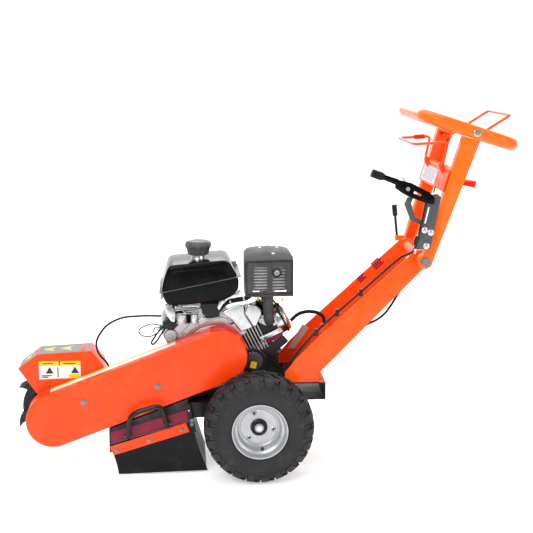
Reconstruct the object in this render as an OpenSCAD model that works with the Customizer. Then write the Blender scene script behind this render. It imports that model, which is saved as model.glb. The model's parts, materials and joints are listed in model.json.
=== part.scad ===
// Walk-behind stump grinder: an engine on a two-wheeled frame drives a toothed cutter wheel
// through V-belts.  The handle folds forward about a pivot at the top of the rear arm.
// The origin is on the ground, under the middle of the machine.  X runs from the cutter to
// the handle, Y runs across the machine and Z is up.  Lengths are millimetres.

/* [Overall] */
// X position of the wheel axle
axle_x = -25.07; // [-28:1:-15]
// Height of the wheel axle above the ground
axle_z = 203; // [203:1:203]

/* [Wheels] */
// Outer radius of the tyre
tyre_r = 203; // [195:1:203]
// Width of the tyre
tyre_w = 165; // [150:1:168]
// Distance of the tyre's middle from the machine's middle
track_y = 260; // [258:1:270]
// Radius of the wheel rim's flange
rim_r = 101; // [100:1:101]
// Radius of the axle shaft
axle_r = 12.5; // [12:0.5:14]

/* [Cutter] */
// Cutter shaft position behind (negative: ahead of) the axle
cutter_x = -760; // [-765:1:-755]
// Cutter shaft height
cutter_z = 222; // [220:1:226]
// Radius of the cutter disc
disc_r = 122; // [118:1:126]
// Number of tooth stations
tooth_stations = 6; // [4:1:6]
// Radius of the cutter shaft
cutter_shaft_r = 15; // [14:0.5:16]

/* [Drive] */
// Crankshaft position relative to the axle
crank_x = -157; // [-160:1:-155]
// Crankshaft height
crank_z = 425; // [424:1:428]
// Radius of the crankshaft's output end
crank_r = 12.7; // [12:0.1:13]
// Outer radius of the pulley on the cutter shaft
driven_r = 70; // [68:1:72]
// Outer radius of the pulley on the crankshaft
drive_r = 50; // [48:1:52]
// Radial gap left in every running fit
running_gap = 0.05; // [0.03:0.01:0.08]

/* [Belt guard] */
// Outer radius of the guard's round ends
guard_r = 99.5; // [98:0.5:100]
// Y of the guard's outer face
guard_outer_y = -162; // [-164:1:-160]
// Thickness of the guard's sheet
guard_sheet = 3; // [2.5:0.5:3]

/* [Hood and boom] */
// Half width of the cutter hood
hood_half = 67; // [67:1:67]
// Thickness of the hood's sheet
hood_sheet = 4; // [4:1:4]
// Thickness of each boom plate
boom_plate = 8; // [6:1:8]

/* [Rear arm and handle] */
// How far the folding handle is set back from the engine side of the arm's end
handle_setback = 9.5; // [8:0.5:10]
// Handle pivot height
pivot_z = 795; // [793:1:797]
// Radius of the pivot bolt's shank
pivot_r = 10; // [9:0.5:11]
// Half width of the arm channel over its flanges
arm_half = 146; // [146:1:148]
// Angle by which each handle leg leans outwards
leg_splay = 4.2; // [4:0.1:4.4]
// Diameter of the loop bar's tube
loop_d = 46; // [44:1:48]
// Diameter of the bail rods
bail_d = 10; // [9:0.5:11]

/* [Engine] */
// Tilt of the cylinder above level
cylinder_tilt = 26; // [25:1:27]
// Radius of the lobed fuel cap
cap_r = 49; // [48:1:50]

/* [Hidden] */

$fn = 48;
orange = "orangered";
black = "#202020";
steel = "silver";

// Plan positions that several parts share
backplate_y = -hood_half - 3;
pulley_y0 = -134;
pulley_y1 = -102;
belt_ys = [-125, -111];
deck_z = 292;
crankcase_y0 = -58;
crankcase_y1 = 70;
pivot_x = 603 + handle_setback;
guard_front = [-755, 206];
guard_rear = [-135, 438];
leg_outer_y = -200;
leg_depth = 38;
lug_y0 = -204;
lug_y1 = -150;
lug_r = 27;
lever_pivot = [611, 1030];
lever_y = -226;
lever_tip_x = 490.5;
bail_y = 155;

// Cable routes, as points chosen along the real run of each cable, from the axle line
throttle_route = [[-352.4, -40, 572], [-372, -40, 572], [-403, -40, 574], [-498, -40, 570],
    [-560, -40, 540], [-600, -40, 480], [-592, -40, 430], [-555, -40, 392], [-545, -40, 350],
    [-528, -40, 285]];
harness_route = [[143, 40, 527], [172, 46, 553], [208, 50, 561], [246, 54, 556], [272, 60, 540],
    [276, 60, 512.5]];
clutch_route = [[584, -214, 886], [574, -213, 852], [568, -190, 828], [540, -140, 806],
    [500, -133, 772], [399, -134, 682], [300, -134, 595],
    [222, -134, 524], [160, -134, 455], [118, -132, 398], [96, -128, 350], [86, -110, 318],
    [70, -80, 300], [40, -66, 299]];
lower_route = [[558, -96, 690], [538, -100, 664], [512, -104, 620], [484, -106, 580],
    [452, -104, 556], [424, -100, 543], [402, -98, 530]];
stop_route = [[-353, -50, 538], [-392, -64, 548], [-429, -70, 534], [-439, -70, 518],
    [-422, -68, 501], [-393, -64, 498], [-370, -54, 508], [-353, -50, 522]];

// ---- helpers ----

module at_axle() translate([axle_x, 0, 0]) children();

// The handle's parts are drawn from where its pivot would be with no setback
module at_handle() translate([axle_x + handle_setback, 0, 0]) children();

// An outline in the XZ plane, thick from y0 to y1
module slab(points, y0, y1)
    translate([0, y1, 0]) rotate([90, 0, 0]) linear_extrude(y1 - y0) polygon(points);

// A disc whose axis runs along Y
module disc(c, r, y0, y1)
    translate([c[0], y1, c[1]]) rotate([90, 0, 0]) cylinder(r = r, h = y1 - y0);

module block(x, y, z)
    translate([x[0], y[0], z[0]]) cube([x[1] - x[0], y[1] - y[0], z[1] - z[0]]);

// Hexagonal head with its axis along Y
module hex(c, flats, y0, y1)
    translate([c[0], y1, c[1]]) rotate([90, 0, 0])
        cylinder(r = flats / 2 / cos(30), h = y1 - y0, $fn = 6);

// Flanged hexagon bolt head that faces -Y on the surface at y
module bolt(c, y, flats = 13) {
    hex(c, flats, y - 8, y - 2);
    disc(c, flats * 0.62, y - 2, y);
}

// Outline round two circles and their outer tangents
function stadium(a, ra, b, rb, n = 28) =
    let (
        lean = atan2(b[1] - a[1], b[0] - a[0]),
        k = acos((ra - rb) / norm(b - a))
    )
    concat(
        [for (i = [0 : n]) let (t = lean + k + (360 - 2 * k) * i / n) a + ra * [cos(t), sin(t)]],
        [for (i = [0 : n]) let (t = lean - k + 2 * k * i / n) b + rb * [cos(t), sin(t)]]
    );

module guard_slab(inset, y0, y1)
    slab(stadium(guard_front, guard_r - inset, guard_rear, guard_r - inset), y0, y1);

// An outline drawn in towards a centre
function shrunk(points, centre, k) = [for (p = points) centre + (p - centre) * k];

module mirror_y() {
    children();
    mirror([0, 1, 0]) children();
}

function unit(v) = v / norm(v);

// Corners of a path rounded to about radius r
function round_path(p, r, n = 4) = [
    p[0],
    for (i = [1 : len(p) - 2])
        let (
            a = p[i] + unit(p[i - 1] - p[i]) * min(r, norm(p[i - 1] - p[i]) * 0.45),
            b = p[i] + unit(p[i + 1] - p[i]) * min(r, norm(p[i + 1] - p[i]) * 0.45)
        )
        for (k = [0 : n])
            let (t = k / n) a * (1 - t) * (1 - t) + p[i] * 2 * t * (1 - t) + b * t * t,
    p[len(p) - 1]
];

function path_dirs(p, closed) = [
    for (i = [0 : len(p) - 1])
        let (
            m = len(p),
            before = closed ? p[(i + m - 1) % m] : p[max(i - 1, 0)],
            after = closed ? p[(i + 1) % m] : p[min(i + 1, m - 1)]
        )
        unit(after - before)
];

function carried(t, n0) = [
    for (i = 0, n = n0; i < len(t);
        n = i + 1 < len(t) ? unit(n - t[i + 1] * (n * t[i + 1])) : n, i = i + 1) n
];

// Round tube swept along a path
module tube_along(p, r, sides = 10, closed = false) {
    t = path_dirs(p, closed);
    aside = abs(t[0] * [0, 1, 0]) < 0.8 ? [0, 1, 0] : [1, 0, 0];
    n = carried(t, unit(aside - t[0] * (aside * t[0])));
    m = len(p);
    points = [
        for (i = [0 : m - 1], j = [0 : sides - 1])
            let (a = 360 * j / sides)
            p[i] + r * (cos(a) * n[i] + sin(a) * cross(t[i], n[i]))
    ];
    walls = [
        for (i = [0 : closed ? m - 1 : m - 2], j = [0 : sides - 1])
            let (i2 = (i + 1) % m, j2 = (j + 1) % sides)
            [i * sides + j, i2 * sides + j, i2 * sides + j2, i * sides + j2]
    ];
    caps = closed ? [] : [
        [for (j = [0 : sides - 1]) j],
        [for (j = [sides - 1 : -1 : 0]) (m - 1) * sides + j]
    ];
    polyhedron(points = points, faces = concat(walls, caps));
}

// ---- wheels ----

tyre_profile = [[97, -66], [112, -77], [146, -tyre_w / 2], [172, -79], [188, -69], [198, -50],
    [tyre_r, -24], [tyre_r, 24], [198, 50], [188, 69], [172, 79], [146, tyre_w / 2], [112, 77],
    [97, 66], [104, 58], [116, 68], [146, 73], [168, 70], [181, 60], [190, 38], [192, 0],
    [190, -38], [181, -60], [168, -70], [146, -73], [116, -68], [104, -58]];
rim_profile = [[rim_r, 72], [rim_r, 70.5], [96.5, 67.5], [94, 40], [80, 34], [80, -30], [94, -36],
    [96.5, -67.5], [rim_r, -70.5], [rim_r, -72], [97, -72], [91, -66], [90, -40], [76, -33],
    [76, -6], [28, 2], [28, 8], [76, 0], [76, 36], [90, 43], [91, 66], [97, 72]];

// Local Z points outboard
module wheel_place(side)
    at_axle() translate([0, side * track_y, axle_z]) rotate([-90 * side, 0, 0]) children();

module tyre(side)
    color(black) wheel_place(side) rotate_extrude($fn = 96) polygon(tyre_profile);

module wheel(side)
    color(steel) wheel_place(side) difference() {
        union() {
            rotate_extrude($fn = 96) polygon(rim_profile);
            translate([0, 0, -38]) cylinder(r = 31, h = 58);
        }
        translate([0, 0, -40]) cylinder(r = axle_r + running_gap, h = 100);
        for (a = [109 : 120 : 349])
            rotate([0, 0, a]) translate([55, 0, -20]) cylinder(r = 4, h = 40);
    }

module tyre_left() tyre(-1);
module tyre_right() tyre(1);
module wheel_left() wheel(-1);
module wheel_right() wheel(1);

module axle()
    color(steel) at_axle() {
        disc([0, axle_z], axle_r, -286, 286);
        mirror_y() difference() {
            disc([0, axle_z], 20, -221, -151);
            disc([0, axle_z], axle_r, -222, -150);
        }
    }

module axle_washers()
    mirror_y() difference() {
        disc([0, axle_z], 17, -283.5, -280.5);
        disc([0, axle_z], axle_r + running_gap, -290, -270);
    }

// ---- frame ----

module base_frame()
    color(black) at_axle() {
        difference() {
            block([-30, 30], [-150, 150], [axle_z - 30, axle_z + 30]);
            disc([0, axle_z], axle_r + running_gap, -160, 160);
            block([-25, 25], [-140, 140], [axle_z - 25, axle_z + 25]);
        }
        mirror_y() difference() {
            block([-540, 120], [-55, -15], [233, 282]);
            block([-536, 116], [-51, -19], [237, 278]);
        }
        mirror_y() difference() {
            block([-260, -172], [-146, -55], [205, 262]);
            block([-256, -176], [-142, -59], [209, 258]);
        }
        block([-540, -500], [-15, 15], [233, 282]);
        block([-300, 90], [-64, 120], [282, deck_z]);
        difference() {
            block([120, 258], [-150, 150], [266, 333]);
            block([124, 254], [-160, 160], [270, 329]);
        }
    }

boom_outline = [[-776, 272], [-330, 281], [-262, 281], [-262, 205], [-744, 171]];

module boom_plates()
    color(black) at_axle() mirror_y() difference() {
        union() {
            slab(boom_outline, -hood_half + hood_sheet, -hood_half + hood_sheet + boom_plate);
            disc([cutter_x, cutter_z], 52, -hood_half + hood_sheet,
                -hood_half + hood_sheet + boom_plate);
        }
        disc([cutter_x, cutter_z], cutter_shaft_r + 4, -100, 0);
    }

module cutter_bearings()
    color("#404040") at_axle() mirror_y() difference() {
        union() {
            disc([cutter_x, cutter_z], 48, -hood_half - 14, -hood_half);
            disc([cutter_x, cutter_z], 33, -hood_half - 26, -hood_half - 14);
        }
        disc([cutter_x, cutter_z], cutter_shaft_r + running_gap, -100, 0);
    }

hood_outer = [[-887, 384], [-815, 437], [-617, 447], [-572, 390], [-557, 300], [-690, 258],
    [-776, 272], [-822, 289]];
hood_inner = [[-884.5, 380.6], [-813.6, 433], [-618.9, 442.9], [-576.3, 388.6], [-561, 240],
    [-700, 200], [-900, 200], [-900, 360]];

module hood()
    color(orange) at_axle() {
        difference() {
            slab(hood_outer, -hood_half, hood_half);
            slab(hood_inner, -hood_half + hood_sheet, hood_half - hood_sheet);
            disc([cutter_x, cutter_z], 60, -80, 80);
        }
    }

// ---- belt guard and drive ----

guard_bolt_places = [[-641, 278], [-368, 333]];
guard_bolt_r = 5;

module belt_guard()
    color(orange) at_axle() difference() {
        guard_slab(0, guard_outer_y, backplate_y);
        guard_slab(guard_sheet, guard_outer_y + guard_sheet, 0);
        for (c = guard_bolt_places)
            disc(c, guard_bolt_r + running_gap, guard_outer_y - 5, guard_outer_y + 10);
    }

module guard_backplate()
    color(orange) at_axle() {
        difference() {
            guard_slab(0, backplate_y, backplate_y + guard_sheet);
            disc([cutter_x, cutter_z], 52, -80, 0);
            disc([crank_x, crank_z], 40, -80, 0);
        }
        disc(idler_pivot, 8, -104, backplate_y);
    }

module belt_slab(lift, y0, y1)
    slab(stadium([cutter_x, cutter_z], driven_r + lift, [crank_x, crank_z], drive_r + lift), y0, y1);

module drive_belts()
    color(black) at_axle() for (y = belt_ys) difference() {
        belt_slab(1, y - 5, y + 5);
        belt_slab(-8, y - 6, y + 6);
    }

// Grooved pulley with its axis along Y
module pulley(c, r, bore) difference() {
    disc(c, r, pulley_y0, pulley_y1);
    for (y = belt_ys) difference() {
        disc(c, r + 1, y - 6, y + 6);
        disc(c, r - 9, y - 7, y + 7);
    }
    disc(c, bore + running_gap, pulley_y0 - 1, pulley_y1 + 1);
}

module driven_pulley()
    color("#505050") at_axle() pulley([cutter_x, cutter_z], driven_r, cutter_shaft_r);

module drive_pulley()
    color("#505050") at_axle() pulley([crank_x, crank_z], drive_r, crank_r);

idler_pivot = [-240, 330];
idler_axle = [-330, 286];

module idler_arm()
    color(steel) at_axle() {
        difference() {
            union() {
                slab([idler_pivot + [0, 12], idler_pivot - [0, 12], idler_axle - [0, 10],
                    idler_axle + [0, 10]], -98, -90);
                disc(idler_pivot, 13, -98, -86);
                disc(idler_axle, 11, -98, -90);
            }
            disc(idler_pivot, 8 + running_gap, -110, -70);
        }
        disc(idler_axle, 8, -136, -98);
    }

module idler_roller()
    color("#404040") at_axle() difference() {
        disc(idler_axle, 13, -132, -103);
        disc(idler_axle, 8 + running_gap, -140, -100);
    }

module cutter_shaft()
    color(steel) at_axle() disc([cutter_x, cutter_z], cutter_shaft_r, -146, 100);

module cutter_disc()
    color("#404040") at_axle() difference() {
        union() {
            disc([cutter_x, cutter_z], disc_r, -8, 8);
            disc([cutter_x, cutter_z], 40, -34, 34);
        }
        disc([cutter_x, cutter_z], cutter_shaft_r + running_gap, -40, 40);
        at_stations() disc([100, 0], 7, -10, 10);
    }

module at_stations()
    for (k = [0 : tooth_stations - 1])
        translate([cutter_x, 0, cutter_z])
            rotate([0, 38 + 360 / tooth_stations * k, 0]) children();

tooth_outline = [[84, -18], [106, -25], [132, -19], [147, 0], [153, 22], [138, 13], [122, 9],
    [108, 17], [84, 16]];

module cutter_teeth()
    color(black) at_axle() at_stations() {
        mirror_y() slab(tooth_outline, -24, -8);
        hex([100, 0], 22, -36, -24);
        hex([100, 0], 22, 24, 36);
    }

// ---- chip deflector ----

deflector_y = -156;
flap_strip_y = -165;

// Height of the clamp strip's top edge at x
function strip_z(x) = 190 + (x + 266) * 0.3;
// Height just under the belt guard at x
function under_guard_z(x) = 106 + (x + 720) * 0.378;

module deflector_box()
    color(black) at_axle() {
        slab([[-550, strip_z(-550) - 26], [-550, under_guard_z(-550)],
            [-256, under_guard_z(-256)], [-256, strip_z(-256) - 26]],
            deflector_y, deflector_y + 4);
        slab([[-550, under_guard_z(-550) - 4], [-550, under_guard_z(-550)],
            [-261, under_guard_z(-261)], [-261, under_guard_z(-261) - 4]], -152, -63);
        slab([[-247, 200], [-248.5, 205], [-242, 205], [-226, 150], [-232, 150]], -152, 146);
        slab([[-261, strip_z(-256)], [-261, 205], [-200, 205], [-200, strip_z(-256) - 10]],
            deflector_y, deflector_y + 8);
    }

module flap_strip()
    color(orange) at_axle()
        slab([[-550, strip_z(-550)], [-266, strip_z(-266)], [-252, strip_z(-266) - 34],
            [-534, strip_z(-550) - 33]],
            flap_strip_y, flap_strip_y + 4);

module side_flap()
    color(black) at_axle()
        slab([[-548, strip_z(-550) - 2], [-256, strip_z(-256) - 2], [-199, 9], [-517, 4]],
            flap_strip_y + 4, deflector_y);

module rear_flap()
    color(black) at_axle()
        slab([[-252, 200], [-247, 200], [-190, 9], [-195, 9]], -147.5, 146);

deflector_bolt_places = [[-523, 91], [-402, 127], [-281, 164]];
rear_bolt_places = [[-243, 199], [-243, 184]];

module chassis_fasteners()
    color(steel) at_axle() {
        axle_washers();
        engine_bolts();
        for (c = guard_bolt_places) {
            bolt(c, guard_outer_y, 19);
            disc(c, guard_bolt_r, guard_outer_y, backplate_y);
        }
        for (c = deflector_bolt_places) bolt(c, flap_strip_y);
        for (c = rear_bolt_places) bolt(c, deflector_y, 12);
        mirror_y() bolt([241, 345], -arm_half - 6, 9);
    }

module carry_handle()
    color("#303030") at_axle()
        tube_along(round_path([[-480, deflector_y, 144], [-480, -178, 144], [-470, -198, 226],
            [-450, -200, 246], [-372, -200, 268], [-350, -200, 258], [-334, -178, 186],
            [-334, deflector_y, 186]], 16, 4), 8, 12);

// ---- rear arm ----

arm_outline = [[105, 333], [105, 372], [150, 425], [217, 492], [588, 828], [638, 779],
    [262, 396], [237, 371], [234, 333]];

module arm_channel()
    color(orange) at_axle() difference() {
        union() {
            mirror_y() {
                slab(arm_outline, -arm_half, -arm_half + 5);
                disc([pivot_x, pivot_z], 34, -arm_half, -arm_half + 5);
                slab([[233, 333], [233, 374], [240, 366], [256, 333]], -arm_half - 6, -arm_half);
            }
            slab([[237, 371], [606, 748], [602, 752], [233, 375]], -arm_half + 5, arm_half - 5);
            slab([[237, 371], [233, 375], [230, 333], [234, 333]], -arm_half + 5, arm_half - 5);
            disc([pivot_x, pivot_z], 24, -arm_half + 5, arm_half - 5);
            block([262, 290], [50, 70], [400, 508]);
        }
        disc([pivot_x, pivot_z], pivot_r + running_gap, -160, 160);
    }

module pivot_bolts()
    color(steel) at_axle() {
        disc([pivot_x, pivot_z], pivot_r, -206, 206);
        mirror_y() {
            disc([pivot_x, pivot_z], 17, -208, -206);
            hex([pivot_x, pivot_z], 30, -220, -208);
        }
        mirror_y() difference() {
            disc([pivot_x, pivot_z], 18, lug_y1 + 0.3, -arm_half);
            disc([pivot_x, pivot_z], pivot_r - 1, -160, -140);
        }
    }

// ---- engine ----

throttle_pivot = [-300, 560];
crankcase_outline = [[-318, deck_z], [0, deck_z], [14, 330], [8, 400], [-62, 500],
    [-110, 602], [-330, 602], [-352, 560], [-352, 510], [-332, 470], [-332, 420]];

// Frame whose Z runs up the cylinder from the crankshaft
module on_cylinder()
    translate([crank_x, 0, crank_z]) rotate([0, 90 - cylinder_tilt, 0]) children();

module crankcase()
    color(steel) at_axle() {
        difference() {
            slab(crankcase_outline, crankcase_y0, crankcase_y1);
            slab(shrunk(crankcase_outline, [crank_x, crank_z + 20], 0.86), -48, 60);
            disc([crank_x, crank_z], crank_r + running_gap, -100, 100);
            block([-400, -240], [-70, 10], [545, 610]);
            on_cylinder() translate([-85, -75, 118]) cube([170, 150, 80]);
        }
        block([-352, -338], [-48, -32], [545, 580]);
        disc(throttle_pivot, 4, -22, 10);
    }

module crankcase_cover()
    color("#b0b0b0") at_axle() difference() {
        disc([crank_x, crank_z], 112, crankcase_y0 - 3, crankcase_y0);
        disc([crank_x, crank_z], crank_r + running_gap, -100, 100);
        block([-400, 100], [-80, 0], [200, deck_z]);
    }

module finned_block(z0, z1, half, wide)
    on_cylinder() {
        translate([0, 0, z0]) cylinder(r = 50, h = z1 - z0);
        for (z = [z0 + 4 : 12 : z1 - 6])
            translate([-half, -wide / 2, z]) cube([2 * half, wide, 4]);
    }

module cylinder_barrel()
    color(black) at_axle() finned_block(118, 200, 72, 130);

module cylinder_head()
    color(black) at_axle() {
        finned_block(200, 262, 62, 120);
        on_cylinder() translate([-40, -60, 200]) cube([80, 120, 62]);
    }

module valve_cover()
    color(steel) at_axle() on_cylinder() {
        translate([0, 0, 262]) cylinder(r = 62, h = 12);
        translate([0, 0, 274]) cylinder(r = 57, h = 38);
        translate([12, -70, 204]) cube([16, 8, 76]);
    }

module spark_plug()
    color(black) at_axle() {
        on_cylinder() translate([-62, 25, 236]) rotate([0, -90, 0]) {
            cylinder(r = 7, h = 10);
            translate([0, 0, 8]) cylinder(r = 10, h = 26);
        }
    }

module blower_housing()
    color("#303030") at_axle() difference() {
        union() {
            disc([crank_x, crank_z], 134, crankcase_y1, 134);
            slab([[-157, 540], [-40, 575], [50, 598], [105, 545], [40, 420], [-60, 330],
                [-157, 330]], crankcase_y1, 120);
        }
        disc([crank_x, crank_z], 130, crankcase_y1 + 4, 130);
        disc([crank_x, crank_z], 40, crankcase_y1 - 1, 130);
        block([-400, 200], [60, 140], [200, deck_z + 4]);
        on_cylinder() translate([-75, -75, 114]) cube([150, 150, 200]);
    }

module recoil_cover()
    color(black) at_axle() difference() {
        union() {
            disc([crank_x, crank_z], 104, 134, 160);
            disc([crank_x, crank_z], 78, 160, 170);
        }
        disc([crank_x, crank_z], 98, 130, 156);
        for (a = [0 : 30 : 330])
            translate([crank_x, 0, crank_z]) rotate([0, a, 0])
                block([40, 68], [150, 180], [-4, 4]);
    }

cap_centre = [-211, -20];
tank_outline = [[-350, 686], [-338, 738], [-320, 774], [-300, 786], [-128, 797], [-108, 790],
    [-77, 735], [-72, 671], [-92, 650], [-132, 636], [-305, 630], [-334, 648]];

module fuel_tank()
    color(black) at_axle() {
        difference() {
            slab(tank_outline, -120, 130);
            slab(shrunk(tank_outline, [-212, 712], 0.965), -116, 126);
        }
        difference() {
            slab([[-354, 684], [-354, 688], [-62, 742], [-62, 738]], -126, 136);
            slab(shrunk(tank_outline, [-212, 712], 0.965), -116, 126);
        }
        translate([cap_centre[0], cap_centre[1], 790]) cylinder(r = 26, h = 17);
        block([-310, -290], [-40, 60], [602, 631]);
        block([-150, -130], [-40, 60], [602, 634]);
    }

module fuel_cap()
    color(black) at_axle() translate([cap_centre[0], cap_centre[1], 0]) {
        translate([0, 0, 808]) cylinder(r = 34, h = 14);
        translate([0, 0, 821]) cylinder(r = cap_r - 6, h = 32);
        for (a = [0 : 45 : 315])
            rotate([0, 0, a]) translate([cap_r - 12, 0, 821]) cylinder(r = 12, h = 28);
    }

module carburettor()
    color("#909090") at_axle() {
        block([26, 84], [66, 120], [620, 662]);
        block([36, 74], [60, 66], [626, 654]);
        translate([48, 95, 598]) cylinder(r = 18, h = 22);
    }

module air_cleaner()
    color(black) at_axle() {
        block([-20, 112], [24, 150], [662, 736]);
        block([-12, 104], [32, 142], [736, 746]);
    }

exhaust_port = [56, 545];
exhaust_y = -82;
outlet = [76, 746];

module muffler()
    color("#404040") at_axle() {
        difference() {
            block([-15, 115], [-100, -4], [672, 778]);
            block([-12, 112], [-97, -7], [675, 775]);
        }
        for (x = [20, 80]) translate([x, -20, 777]) cylinder(r = 6, h = 38);
        translate([exhaust_port[0], exhaust_y, exhaust_port[1]]) {
            cylinder(r = 14, h = 673 - exhaust_port[1]);
            sphere(r = 14);
        }
        disc(exhaust_port, 14, exhaust_y, -62);
        disc(exhaust_port, 24, -68, -62.2);
        disc(outlet, 9, -126, -97);
    }

guard_end = [[-118, 656], [-118, 786], [-108, 798], [-40, 820], [0, 829], [12, 820], [12, 656]];
guard_end_inner = [[-115, 640], [-115, 785], [-106, 795], [-40, 817], [0, 826], [9, 818], [9, 640]];
guard_face = [[-40, 656], [-40, 806], [-28, 819], [0, 825], [48, 829], [98, 825], [126, 817],
    [138, 800], [138, 656]];
guard_face_inner = [[-37, 640], [-37, 805], [-26, 816], [0, 822], [48, 826], [98, 822], [124, 814],
    [135, 799], [135, 640]];

// An outline in the YZ plane, thick from x0 to x1
module end_slab(points, x0, x1)
    translate([x0, 0, 0]) rotate([90, 0, 90]) linear_extrude(x1 - x0) polygon(points);

// The solid that has one outline seen from its end and another seen from its face
module guard_blank(end, face)
    intersection() {
        end_slab(end, -60, 160);
        slab(face, -130, 30);
    }

module muffler_guard()
    color("#303030") at_axle() difference() {
        guard_blank(guard_end, guard_face);
        guard_blank(guard_end_inner, guard_face_inner);
        for (k = [0 : 8]) {
            block([-12, 41], [-125, -110], [674 + 11 * k, 680 + 11 * k]);
            block([60, 112], [-125, -110], [674 + 11 * k, 680 + 11 * k]);
        }
        disc(outlet, 12, -130, -105);
    }

module oil_filler_cap()
    color("gold") at_axle() {
        disc([-8, 385], 16, -70, crankcase_y0);
        block([-14, -2], [-82, -70], [370, 400]);
    }

module engine_bolts()
    for (a = [20 : 60 : 320])
        hex([crank_x + 104 * cos(a), crank_z + 104 * sin(a)], 11, crankcase_y0 - 8,
            crankcase_y0 - 3);

// ---- engine controls ----

module crankshaft()
    color(steel) at_axle() {
        disc([crank_x, crank_z], crank_r, -146, 128);
        disc([crank_x, crank_z], 98, 84, 114);
    }

module recoil_grip()
    color(black) at_axle() {
        disc([crank_x + 52, crank_z + 72], 7, 160.5, 180);
        translate([crank_x + 52, 180, crank_z + 54]) cylinder(r = 9, h = 36);
    }

module throttle_lever()
    color(steel) at_axle() difference() {
        union() {
            disc(throttle_pivot, 9, -20, -14);
            block([-345, -300], [-20, -16], [555, 565]);
        }
        disc(throttle_pivot, 4 + running_gap, -30, 0);
    }

module engine_switch()
    color(black) at_axle()
        block([-256, -240], [135, 141], [503, 515]);

// ---- cables ----

module throttle_cable() color(black) at_axle() tube_along(round_path(throttle_route, 30, 2), 4, 8);
module harness_cable() color(black) at_axle() tube_along(round_path(harness_route, 20, 2), 7, 8);
module clutch_cable() color(black) at_axle() tube_along(round_path(clutch_route, 24, 1), 4.5, 8);
module lower_cable() color(black) at_axle() tube_along(round_path(lower_route, 20, 2), 4.5, 8);
module stop_wire() color(black) at_axle() tube_along(round_path(stop_route, 12, 1), 2.2, 8);

// ---- handle ----

leg_outline = [[587, 805], [725, 1268], [785, 1250], [630, 805]];
leg_inner = [[593, 812], [730, 1258], [777, 1243], [624, 812]];
tab_outline = [[719, 1114], [782, 1101], [777, 1079], [717, 1091]];
loop_centre = [751.5, 1271];
loop_tilt = 18.2;
loop_half_x = 171;
loop_half_y = 237;
loop_corner = 70;
loop_wall = 3;
leg_pivot = [pivot_x - handle_setback, pivot_z];
far_lever_pivot = [573, 821];

// Closed tube with rounded corners, in its own plane
module ring_tube(r) {
    side_x = loop_half_x - loop_corner;
    side_y = loop_half_y - loop_corner;
    for (q = [0 : 3])
        rotate([0, 0, 90 * q])
            translate([q % 2 == 0 ? side_x : side_y, q % 2 == 0 ? side_y : side_x, 0]) {
                rotate_extrude(angle = 90) translate([loop_corner, 0]) circle(r);
                translate([loop_corner, 0, 0]) rotate([90, 0, 0])
                    cylinder(r = r, h = 2 * (q % 2 == 0 ? side_y : side_x));
            }
}

module on_loop()
    translate([loop_centre[0], 0, loop_centre[1]]) rotate([0, loop_tilt, 0]) children();

// Turns a near-side piece outwards about the pivot height
module splayed() translate([0, 0, pivot_z]) rotate([leg_splay, 0, 0]) translate([0, 0, -pivot_z])
    children();

module handle_leg() {
    splayed() difference() {
        slab(leg_outline, leg_outer_y, leg_outer_y + leg_depth);
        slab(leg_inner, leg_outer_y + 5, leg_outer_y + leg_depth + 5);
    }
    splayed() slab(tab_outline, -184, -180);
    disc(rear_bail_pivot, 12, -224, -205);
    disc(leg_pivot, lug_r, lug_y0, lug_y1);
}

module handle_frame()
    color("darkorange") at_handle() {
        difference() {
            mirror_y() handle_leg();
            on_loop() ring_tube(loop_d / 2 - loop_wall / 2);
            disc(leg_pivot, pivot_r + running_gap, -250, 250);
            disc(rear_bail_pivot, bail_d / 2 + 0.4, -217, 217);
        }
        on_loop() difference() {
            ring_tube(loop_d / 2);
            ring_tube(loop_d / 2 - loop_wall);
        }
        slab([[564, 811], [604, 811], [604, 831], [564, 831]], 192, 197);
        disc(far_lever_pivot, 4, 197, 214);
    }

module cross_panel()
    color(orange) at_handle() {
        slab([[661, 1052], [684, 1127], [680, 1128], [657, 1053]], -215, 215);
        slab([[684, 1127], [680, 1128], [700, 1136], [701, 1132]], -180, 180);
        mirror_y() difference() {
            slab([[673, 1108], [682, 1128], [677, 1146], [668, 1150], [659, 1145], [660, 1130]],
                -134, -128);
            disc(front_bail_pivot, bail_d / 2 + 0.4, -140, -120);
        }
    }

plate_outline = [[564, 846], [613, 844], [649, 1034], [636, 1046], [594, 1041]];
plate_slot = [[590, 940], [596, 939], [609, 998], [603, 999]];

module lever_plate()
    color("#303030") at_handle() {
        difference() {
            slab(plate_outline, lever_y - 6, lever_y);
            slab(plate_slot, lever_y - 10, lever_y + 10);
            disc(lever_pivot, 8 + running_gap, lever_y - 10, lever_y + 10);
        }
        slab([[529, 1035], [517, 1011], [541, 950], [573, 936], [575, 953], [557, 964],
            [542, 1013], [549, 1032]], lever_y + 2, lever_y + 6);
        slab([[573, 936], [575, 953], [592, 949], [590, 932]], lever_y, lever_y + 6);
    }

handle_bolt_places = [[599, 858], [614, 907], [591, 916]];
loop_cap = [767, 1266];

module handle_bolts()
    color(steel) at_handle() {
        for (c = handle_bolt_places) disc(c, 12, lever_y - 12, lever_y - 6);
        mirror_y() disc(loop_cap, 10, -265, -260.2);
    }

lever_outline = [[621, 1010], [624, 1034], [604, 1054], [566, 1073], [539, 1087], [505, 1096],
    [483, 1100], [480, 1070], [505, 1052], [530, 1038], [583, 1018]];
lever_slot = [[576, 1046], [550, 1058], [546, 1051], [572, 1039]];
lever_lean = 70;

// Turns a rod drawn along Z so that it follows the lever outwards from its plate
module along_lever()
    translate([lever_tip_x, lever_y - 11, 1090]) rotate([0, -lever_lean, 0]) children();

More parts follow.
